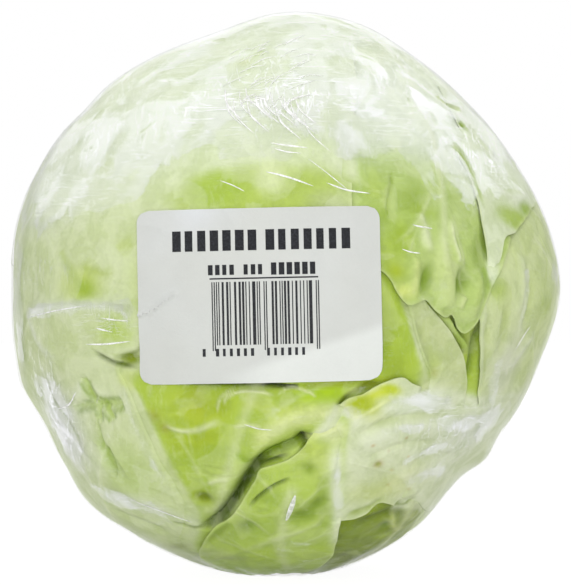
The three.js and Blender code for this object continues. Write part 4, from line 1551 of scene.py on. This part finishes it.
@dataclass
class CutStalk:
    """The stub of stalk under the head, cut square and a little sunken."""

    low: Triple
    high: Triple
    rings: int = 5
    sides: int = 72
    hollow: float = 0.0011
    grain: float = 0.0004
    undercut: float = 0.10

    def build(self) -> None:
        """Builds, dresses and settles the stalk."""
        radius = (self.high[0] - self.low[0]) / 2
        height = self.high[2] - self.low[2]
        deselect()
        bpy.ops.mesh.primitive_cylinder_add(
            vertices=self.sides, radius=radius, depth=height, location=(0, 0, self.low[2] + height / 2))
        piece = bpy.context.object
        piece.name = "cut_stalk_end"
        bpy.ops.object.transform_apply(location=True, rotation=False, scale=False)
        bpy.ops.object.mode_set(mode="EDIT")
        bpy.ops.mesh.select_all(action="DESELECT")
        bpy.ops.object.mode_set(mode="OBJECT")
        for face in piece.data.polygons:
            face.select = abs(face.normal.z) > 0.9
        bpy.ops.object.mode_set(mode="EDIT")
        for _ in range(self.rings):
            bpy.ops.mesh.inset(thickness=radius / (self.rings + 2), depth=0)
        bpy.ops.object.mode_set(mode="OBJECT")
        points = coordinates(piece)
        across = np.hypot(points[:, 0], points[:, 1]) / radius
        turn = np.arctan2(points[:, 1], points[:, 0])
        lower = points[:, 2] < self.low[2] + height / 2
        wave = 0.0004 * np.sin(5 * turn + 1) + 0.0003 * np.sin(11 * turn)
        cut = self.hollow * smoothstep(0.9, 0.2, across) + self.grain * Lumps(51).at(points, 0.004)
        points[:, 2] += np.where(lower, cut, 0)
        shrink = np.where(across > 0.9, 1 - np.abs(wave) / radius - np.where(lower, self.undercut, 0.0), 1)
        points[:, :2] *= shrink[:, None]
        points[:, 2] = np.maximum(points[:, 2], self.low[2])
        move_vertices(piece, points)
        keep_number(piece, "rim", smoothstep(0.75, 1.0, across))
        settle(piece, StemFinish().material(), "cut_stem", 60)


# ---- The film ----


@dataclass(frozen=True)
class Fold:
    """A thread of film gathered on itself along a path. Width is its half width in millimetres."""

    path: Path
    width: float = 0.3
    height: float = 0.25


FOLDS = (
    Fold(((-3.4, 30.6), (0, 30.0), (5, 29.4)), 0.32, 0.35),
    Fold(((-2.6, 29.4), (0, 28.6), (3.4, 28.2)), 0.22),
    Fold(((-4.2, 24.3), (0, 23.2), (5.8, 21.2)), 0.30, 0.3),
    Fold(((8.6, 22.0), (13, 20.6), (18.0, 20.0)), 0.26),
    Fold(((-14, 22.5), (-11, 21.4), (-8.6, 20.2)), 0.18),
    Fold(((5, 27), (9, 24), (13, 20.8)), 0.16),
    Fold(((-41, -7), (-39, -7.4), (-36.6, -7.8)), 0.24),
    Fold(((-39.4, -5.0), (-36, -5.4), (-32.4, -5.6)), 0.22),
    Fold(((-44, -10.2), (-39, -10.2), (-32.6, -9.6)), 0.26),
    Fold(((-64, -5.0), (-56, -4.0), (-49, -3.2), (-43, -2.6)), 0.16),
    Fold(((27, 13.6), (29, 13.0), (31.4, 12.8)), 0.26),
    Fold(((24, 8.6), (26, 8.0), (28, 7.8)), 0.20),
    Fold(((2.6, -43.6), (1.6, -47), (0.2, -50.6)), 0.75, 0.5),
    Fold(((-9, -26.6), (-6, -27.4), (-3, -27.6)), 0.18),
    Fold(((58, -12), (60, -9), (62, -7)), 0.22),
    Fold(((-50, -20), (-55, -23), (-61, -24)), 0.26),
    Fold(((-47, -44), (-38, -48), (-30, -51)), 0.26),
    Fold(((150, 30), (162, 18), (170, 4), (172, -12)), 0.4, 0.4),
    Fold(((-150, 42), (-160, 24), (-166, 6), (-165, -16)), 0.35, 0.35),
    Fold(((112, 40), (122, 24), (126, 6)), 0.3),
    Fold(((-110, -20), (-120, -30), (-134, -36)), 0.3),
)


@dataclass
class Film:
    """The cling film around the head: the sheet and the threads gathered in it."""

    relief: Relief
    cuts: int = 99
    top_share: float = 0.9
    top_glare: float = 0.37
    clearing: float = 0.85
    crinkle: float = 0.8
    least_crinkle: float = 0.10
    gather_crinkle: float = 0.5
    lift: float = 0.06
    wall: float = 0.04

    CRINKLED = (
        Spot((-6, 43), (24, 15), 0, 3), Spot((-38, -6), (12, 5), 0, 3), Spot((178, -10), (40, 40), 0, 3),
        Spot((44, -30), (20, 10), 10, 3), Spot((-62, -22), (12, 20), 0, 3), Spot((56, 30), (10, 12), 0, 3),
        Spot((-60, 4), (18, 5), 0, 3), Spot((104, 10), (20, 40), 0, 3), Spot((-112, 0), (20, 40), 0, 3),
    )

    # Painted glare: where the film is made to throw back a lamp: the shape, how bright it is, and how much
    # of it is there.
    GLARES = (
        (Spot((-62, -27), (12, 19), 8, 3), 0.62, 0.92), (Spot((-50, -45), (14, 4.5), 24, 3), 0.46, 0.9),
        (Spot((-73, -2), (7, 20), 0, 2), 0.42, 0.9), (Spot((-27, 38), (13, 8), 10, 3), 0.50, 0.94),
        (Spot((-50, 33), (9, 9), 0, 3), 0.48, 0.92),
        (Line(((-68, -4.4), (-58, -3.4), (-48, -2.8), (-38, -2.6), (-31, -2)), 2.2, fade=0.1), 0.40, 0.9),
        (Spot((-72, 14), (4.5, 14), 0, 2), 0.26, 0.8), (Spot((-66, 34), (12, 10), 30, 2), 0.36, 0.75),
        (Line(((18, -23), (26, -22), (33, -22.6), (40, -24), (50, -25)), 2.8, fade=0.45), 0.50, 1.0),
        (Spot((36, -23.4), (7, 3.0), -8, 2), 0.55, 0.95),
        (Spot((46, -28.8), (15, 4.2), 8, 2), 0.48, 0.9), (Spot((58, -30), (9, 10), 0, 2), 0.42, 0.8),
        (Line(((20, -29), (28, -28.4), (36, -29)), 2.2, fade=0.2), 0.40, 0.75),
        (Line(((30, -38), (38, -35.4), (48, -34)), 2.6, fade=0.2), 0.40, 0.75),
        (Line(((34, -43), (44, -40.6), (54, -41)), 3.0, fade=0.2), 0.34, 0.7),
        (Line(((58, 6), (57.5, -2), (56.5, -10)), 2.0, fade=0.2), 0.28, 0.75),
        (Line(((52, -12), (54, -20), (58, -26)), 3.4, fade=0.2), 0.34, 0.75),
        (Spot((76, 4), (5, 10), 0, 2), 0.28, 0.75), (Spot((60, 24), (9, 3), 10, 3), 0.34, 0.85),
        (Spot((-6, 38), (16, 8), 6, 3), 0.42, 0.90), (Spot((32, 42), (24, 18), -20, 5), 0.64, 0.96),
        (Spot((52, 34), (7, 12), -30, 2), 0.42, 0.95),
        (Line(((1, -25), (7, -25.6), (13, -24.4), (19, -26)), 1.8, fade=0.2), 0.30, 0.55),
        (Line(((13, -31), (12.6, -36), (13.8, -42), (16, -49)), 1.7, fade=0.2), 0.34, 0.8),
        (Line(((-36.4, -17), (-35.4, -25), (-33.6, -33), (-32.4, -42)), 2.0, fade=0.2), 0.22, 0.7),
        (Spot((150, 20), (20, 16), 0, 2), 0.25, 0.7), (Spot((-150, 8), (18, 20), 0, 2), 0.25, 0.7),
        (Spot((110, -30), (14, 14), 0, 2), 0.25, 0.7), (Spot((-110, -20), (14, 18), 0, 2), 0.25, 0.7),
    )

    # The lower border of the painted glare over the top, from the left of the back round to the right of the
    # back.
    TOP_GLARE = (
        (-180, 34), (-90, 22), (-72, 10), (-58, 12), (-46, 15), (-36, 18), (-30, 21), (-26, 25), (-23, 27.5),
        (-16, 28.5), (-12, 26), (-8, 28), (-3, 27), (3, 29), (10, 29), (14, 25), (21, 26.5), (27, 28),
        (32, 26), (38, 22), (44, 17), (50, 20), (60, 24), (76, 27), (90, 30), (180, 34),
    )

    # Where the painted glare is taken off again, where the film lies flat on the leaf and throws little
    # back.
    CLEARINGS = (
        Line(((51.5, 46), (53.4, 43.8), (56.6, 42.9), (61, 42.4)), 1.7, fade=0.05),
        Spot((55.4, 38.1), (2.0, 2.2), 0, 3),
        Line(((45.6, 32.4), (47.2, 29.7), (47.9, 26.6), (47.8, 22), (47.4, 18)), 1.2, fade=0.05),
        Spot((61, 15.2), (14, 4.6), 12, 4), Spot((15.5, 24.4), (2.6, 3.4), 0, 4),
        Spot((-15, 21.6), (8, 4.6), 0, 4), Spot((8, 24), (8, 4.6), 0, 4), Spot((18, -21.8), (6.5, 3), 25, 3),
        Line(((14, 20), (13.6, 17), (14, 14)), 1.2), Spot((-46.6, -35), (3.4, 7), -14, 3),
        Spot((-46, -22), (6, 5), 0, 3), Spot((-10, 56), (1.8, 1.6), 0, 2),
        Spot((-23.4, -44.6), (6, 5), 0, 3),
    )

    def glares(self, ways: Array) -> tuple[Array, Array]:
        """Where glare is painted on the film, from 0 to 1, and how brightly."""
        lon = np.degrees(np.arctan2(ways[:, 0], -ways[:, 1]))
        lat = np.degrees(np.arcsin(np.clip(ways[:, 2], -1, 1)))
        lows = np.interp(lon, *zip(*self.TOP_GLARE))
        painted_glare = self.top_share * smoothstep(-5, 6, lat - lows)
        glare = np.full(len(ways), self.top_glare)
        for shape, strength, share in self.GLARES:
            weight = share * shape.weight(ways)
            glare += (strength - glare) * weight
            painted_glare = np.maximum(painted_glare, weight)
        for shape in self.CLEARINGS:
            painted_glare *= 1 - self.clearing * shape.weight(ways)
        return painted_glare, glare

    def scattered(self) -> tuple[Fold, ...]:
        """The short bowed threads above the label, the fine ones over them, and those elsewhere."""
        random = np.random.default_rng(71)
        folds = []
        for i in range(16):
            lon = -17 + 1.4 * i + random.uniform(-0.5, 0.5)
            top = 45 - 0.4 * i + random.uniform(-2.5, 2.5)
            fall = random.uniform(5, 10)
            folds.append(Fold(
                ((lon, top), (lon + 0.2 * fall, top - 0.5 * fall), (lon + 0.75 * fall, top - fall)),
                random.uniform(0.16, 0.34), 0.25))
        for count, lons, lats, runs, lifts, bows, widths in (
            (34, (-22, 4), (38, 60), (3, 9), (0, 4), (0.2, 1.0), (0.12, 0.26)),
            (40, (80, 268), (-55, 60), (4, 16), (-9, 9), (-1.5, 1.5), (0.12, 0.28)),
        ):
            for _ in range(count):
                lon, lat, run, lift, bow, width = (
                    random.uniform(*reach) for reach in (lons, lats, runs, lifts, bows, widths))
                path = ((lon, lat), (lon + run / 2, lat + lift / 2 + bow), (lon + run, lat + lift))
                folds.append(Fold(path, width, 0.2))
        return tuple(folds)

    def build_sheet(self) -> None:
        """Builds the film itself, one closed skin drawn together under the head."""
        piece, ways = ball("film_wrap_skin", self.cuts)
        move_vertices(piece, FORM.points(ways, self.relief.at(ways) * MM))
        crinkle = self.least_crinkle + self.gather_crinkle * smoothstep(-0.93, -0.99, ways[:, 2])
        for spot in self.CRINKLED:
            crinkle = np.maximum(crinkle, self.crinkle * spot.weight(ways))
        keep_number(piece, "crinkle", crinkle)
        painted_glare, glare = self.glares(ways)
        keep_number(piece, "painted_glare", painted_glare)
        keep_number(piece, "glare", glare)
        settle(piece, FilmFinish().material(), "film_wrap", 180)

    def build_folds(self) -> None:
        """Builds the gathered threads as one piece."""
        parts = []
        for fold in FOLDS + self.scattered():
            path = smooth_path(fold.path, steps=10)
            part = grid("film_fold_part", len(path) - 1, 4)
            flat = coordinates(part)
            index = np.round((flat[:, 0] + 1) / 2 * (len(path) - 1)).astype(int)
            ahead = np.gradient(path, axis=0)
            aside = np.cross(path, ahead)
            aside /= np.linalg.norm(aside, axis=1, keepdims=True)
            taper = np.sin(math.pi * np.clip(index / (len(path) - 1), 0.02, 0.98)) ** 0.6
            offset = flat[:, 1] * taper * fold.width / ARC_MM
            ways = path[index] + aside[index] * offset[:, None]
            ways /= np.linalg.norm(ways, axis=1, keepdims=True)
            rise = self.relief.at(ways) + self.lift + 0.4 * fold.height * taper * (1 - flat[:, 1] ** 2)
            move_vertices(part, FORM.points(ways, rise * MM))
            parts.append(part)
        piece = joined(parts, "film_wrap_folds")
        edit(bpy.ops.mesh.normals_make_consistent, inside=False)
        thicken(piece, self.wall * MM)
        settle(piece, FoldFinish().material(), "film_wrap", 60)

    def build(self) -> None:
        """Builds the sheet and its threads."""
        self.build_sheet()
        self.build_folds()


# ---- The label ----


@dataclass
class Label:
    """The paper label on the film, and the plain marks printed on it. Sizes are in millimetres."""

    relief: Relief
    width: float = 70.0
    height: float = 50.0
    corner: float = 3.5
    turn: float = 1.2
    lift: float = 0.35
    swell: float = 0.12
    thickness: float = 0.12
    ink: float = 0.03
    ink_wall: float = 0.02
    ink_cell: float = 1.2
    module: float = 0.323

    PAPER = (205, 207, 202)

    # Rows of plain blocks: the first one's left, their bottom, their size, how far apart, and how many.
    ROWS = (
        (-24.6, 12.9, (2.55, 5.9), 3.62, 7), (2.2, 12.9, (2.55, 5.9), 3.62, 7),
        (-14.4, 6.0, (1.35, 2.9), 2.05, 4), (-4.2, 6.0, (1.35, 2.9), 2.05, 3),
        (3.6, 5.8, (1.6, 3.5), 2.22, 6), (-16.4, -17.2, (0.95, 2.2), 1.9, 1),
        (-12.6, -17.2, (0.95, 2.2), 2.0, 6), (2.0, -17.2, (0.95, 2.2), 2.0, 6),
    )
    RULE = (-14.0, 4.75, 31.0, 0.42)

    # The plain bars, in modules from their left: how many they take, and the tall thin pairs among them.
    BARS_LEFT = -13.5
    BARS = 95
    TALL_BARS = (0.0, 2.0, 46.0, 48.0, 92.0, 94.0)

    CREASES = (
        Mark(Line(((-31.5, -4.9), (-27, -3.7), (-24, -1.8), (-21, 0.2)), 0.8, Side.LEFT, 0.15), 0.9),
        Mark(Line(((-30.5, 13.2), (-27, 12.9), (-24.5, 11.8)), 0.6, Side.BOTH, 0.15), 0.35),
        Mark(Line(((-12, 17.5), (-11, 14), (-9.5, 12)), 1.2), 0.3),
        Mark(Line(((-31, -17), (-10, -18.2), (19, -18)), 2.2, fade=0.1), 0.35),
        Mark(Line(((19.4, 16), (19.8, 0), (19.4, -16)), 2.0, fade=0.1), 0.25),
    )

    def place(self, u: Array, v: Array, above: float = 0.0) -> Array:
        """The points of the label's face.

        Args:
            u: Millimetres to the right of its middle.
            v: Millimetres up from its middle.
            above: Millimetres over the paper.

        Returns:
            One point a row.
        """
        cosine, sine = math.cos(math.radians(self.turn)), math.sin(math.radians(self.turn))
        middle = (LABEL_LOW + LABEL_HIGH) / 2
        x = middle[0] + (u * cosine - v * sine) * MM
        z = middle[2] - FORM.centre + (u * sine + v * cosine) * MM
        sideways = np.column_stack([x, np.zeros(len(x)), z])
        across = np.hypot(x, z)
        edge = FORM.radius(sideways / across[:, None])
        y = -FORM.half_depth * np.sqrt(1 - (across / edge) ** 2)
        ways = np.column_stack([x, y, z])
        ways /= np.linalg.norm(ways, axis=1, keepdims=True)
        rise = self.relief.at(ways) + self.lift + above
        rise += self.swell * Lumps(66).at(ways * FORM.half_depth, 0.014)
        for mark in self.CREASES:
            rise += mark.rise * mark.shape.weight(ways)
        return FORM.points(ways, rise * MM)

    def build_paper(self) -> None:
        """Builds the sheet with its round corners."""
        piece = grid("price_label_paper", 98, 70)
        flat = coordinates(piece)
        half = self.height / 2
        v = flat[:, 1] * half
        into = np.maximum(np.abs(v) - (half - self.corner), 0)
        trim = self.corner - np.sqrt(self.corner**2 - into**2)
        u = flat[:, 0] * (self.width / 2 - trim)
        move_vertices(piece, self.place(u, v))
        # Painted highlights: a brighter band over the lower right of the label and a bluish white glint over
        # its top left corner.
        painted_highlight = smoothstep(0, 4, 0.30 * (u + 4) - (v + 19)) * smoothstep(-14, 4, u)
        corner = smoothstep(0, 10, v - 12 - 0.35 * (u + 20)) * smoothstep(6, -10, u)
        cloud = 0.5 + 0.5 * Lumps(67).at(np.column_stack([u, v, 0 * u]), 9.0)
        tint = np.tile(linear(self.PAPER), (len(u), 1))
        for share, colour in ((0.25 * cloud, (213, 216, 216)), (0.9 * painted_highlight, (224, 227, 223)),
                              (0.8 * corner * cloud, (222, 225, 229))):
            tint = laid_over(tint, linear(colour), share)
        keep_colour(piece, "tint", tint)
        thicken(piece, self.thickness * MM)
        settle(piece, PaperFinish().material(), "price_label", 40)

    def blocks(self) -> list[tuple[float, float, float, float]]:
        """The printed blocks: left, bottom, width and height of each."""
        random = np.random.default_rng(9)
        rows: list[tuple[float, float, float, float]] = []
        for start, bottom, size, pitch, count in self.ROWS:
            for i in range(count):
                rows.append((start + i * pitch, bottom, size[0] * random.uniform(0.82, 1.0), size[1]))
        rows.append(self.RULE)
        for bar in self.TALL_BARS:
            rows.append((self.BARS_LEFT + bar * self.module, -15.6, self.module, 19.6))
        place, right = self.BARS_LEFT + 4 * self.module, self.BARS_LEFT + self.BARS * self.module
        centre = self.BARS_LEFT + self.BARS / 2 * self.module
        while place < right - 5 * self.module:
            width = int(random.choice([1, 1, 1, 2, 2, 3]))
            if abs(place + width * self.module / 2 - centre) >= 3.5 * self.module:
                rows.append((place, -14.0, width * self.module * 0.96, 18.0))
            place += (width + int(random.choice([1, 1, 2, 2, 3]))) * self.module
        return rows

    def build_print(self) -> None:
        """Builds the print as thin blocks of ink on the paper."""
        parts = []
        for left, bottom, width, height in self.blocks():
            cells = max(1, round(width / self.ink_cell)), max(2, round(height / self.ink_cell))
            part = grid("label_print_part", *cells)
            flat = coordinates(part)
            u = left + (flat[:, 0] + 1) / 2 * width
            v = bottom + (flat[:, 1] + 1) / 2 * height
            move_vertices(part, self.place(u, v, self.ink))
            parts.append(part)
        piece = joined(parts, "price_label_print")
        thicken(piece, self.ink_wall * MM)
        settle(piece, InkFinish().material(), "price_label", 30)

    def build(self) -> None:
        """Builds the paper and its print."""
        self.build_paper()
        self.build_print()


# ---- The studio ----


@dataclass
class Studio:
    """A plain white floor, soft lamps and the camera, in metres, and the sensor in millimetres."""

    pixel: float = 0.315 * MM
    distance: float = 0.9
    picture: tuple[int, int] = (571, 585)
    sensor: float = 36.0
    top_light: float = 3.6
    front_light: float = 14.0
    back_light: float = 5.0
    ambient: float = 0.56
    box: float = 0.62
    room: Pair = (0.52, 0.74)
    floor_white: float = 1.16
    floor_share: float = 0.82

    def build_camera(self) -> None:
        """Looks along +Y at the middle of the head."""
        data = bpy.data.cameras.new("camera")
        data.sensor_width = self.sensor
        data.lens = self.sensor * self.distance / (self.pixel * max(self.picture))
        camera = bpy.data.objects.new("camera", data)
        bpy.context.scene.collection.objects.link(camera)
        camera.location = (0, -self.distance, FORM.centre)
        camera.rotation_euler = (math.pi / 2, 0, 0)
        bpy.context.scene.camera = camera

    def lamp(self, name: str, place: Triple, size: Pair, power: float) -> None:
        """Adds a soft lamp, of some width and height, aimed at the head."""
        deselect()
        bpy.ops.object.light_add(type="AREA", location=place)
        lamp = bpy.context.object
        lamp.name = name
        lamp.data.shape = "RECTANGLE"
        lamp.data.size, lamp.data.size_y = size
        lamp.data.energy = power
        lamp.visible_glossy = False
        away = np.array(place) - [0, 0, FORM.centre]
        flat = math.hypot(away[0], away[1])
        lamp.rotation_euler = (math.atan2(flat, away[2]), 0, math.atan2(away[0], -away[1]))

    def build_world(self) -> None:
        """White behind the object, with a grey room and a soft box overhead in what its surfaces reflect."""
        world = bpy.data.worlds.new("studio")
        bpy.context.scene.world = world
        shader = Shader(world)
        seen = shader.rays("Camera", "Transmission")
        glossy = shader.rays("Glossy")
        way = shader.node("ShaderNodeTexCoord").outputs["Generated"]
        parts = shader.node("ShaderNodeSeparateXYZ", {}, {0: way})
        x, y, z = (Value(shader, parts.outputs[i]) for i in range(3))
        height = z.at_least(0.02)
        ahead = y / height
        aside = x / height
        box = ahead.ramp(-0.90, -0.80) * ahead.ramp(2.6, 4.6, 1.0, 0.0)
        box = box * aside.ramp(-3.6, -2.6) * aside.ramp(2.6, 3.6, 1.0, 0.0)
        reflected = y.ramp(-0.75, 0.35, *self.room) + box * self.box
        strength = glossy * reflected + (1.0 - glossy) * self.ambient
        strength = seen + (1.0 - seen) * strength
        light = shader.node("ShaderNodeBackground", {}, {"Color": (1, 1, 1, 1), "Strength": strength})
        shader.node("ShaderNodeOutputWorld", {}, {"Surface": light.outputs[0]})

    def build_floor(self) -> None:
        """The floor, white to the camera, which keeps the shadow."""
        deselect()
        bpy.ops.mesh.primitive_plane_add(size=8)
        floor = bpy.context.object
        floor.name = "studio_floor"
        material = bpy.data.materials.new("studio_floor_white")
        shader = Shader(material)
        seen = shader.rays("Camera", "Transmission", "Glossy") * self.floor_share
        white = shader.node("ShaderNodeEmission", {}, {"Color": (1, 1, 1, 1), "Strength": self.floor_white})
        matt = shader.node("ShaderNodeBsdfDiffuse", {}, {"Color": (0.90, 0.90, 0.90, 1)})
        both = shader.node("ShaderNodeMixShader", {}, {0: seen, 1: matt.outputs[0], 2: white.outputs[0]})
        shader.node("ShaderNodeOutputMaterial", {}, {"Surface": both.outputs[0]})
        dress(floor, material)

    def build(self) -> None:
        """Builds the camera, the lamps, the world and the floor."""
        self.build_camera()
        self.lamp("top_softbox", (0, -0.10, FORM.centre + 0.9), (1.3, 1.3), self.top_light)
        self.lamp("front_softbox", (-0.04, -1.7, 0.20), (1.4, 0.5), self.front_light)
        self.lamp("back_softbox", (0.04, 1.7, 0.25), (1.4, 0.5), self.back_light)
        self.build_world()
        self.build_floor()


def main() -> None:
    """Builds the cabbage, its film and label, and the studio."""
    logging.basicConfig(level=logging.INFO, format="%(name)s: %(message)s")
    bpy.context.scene.view_settings.view_transform = "Standard"
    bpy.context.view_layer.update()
    relief = Relief(FILM_MARKS)
    Studio().build()
    Head(LEAVES, relief).build()
    CutStalk(*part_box("cut_stem")).build()
    Film(relief).build()
    Label(relief).build()


if __name__ == "__main__":
    main()
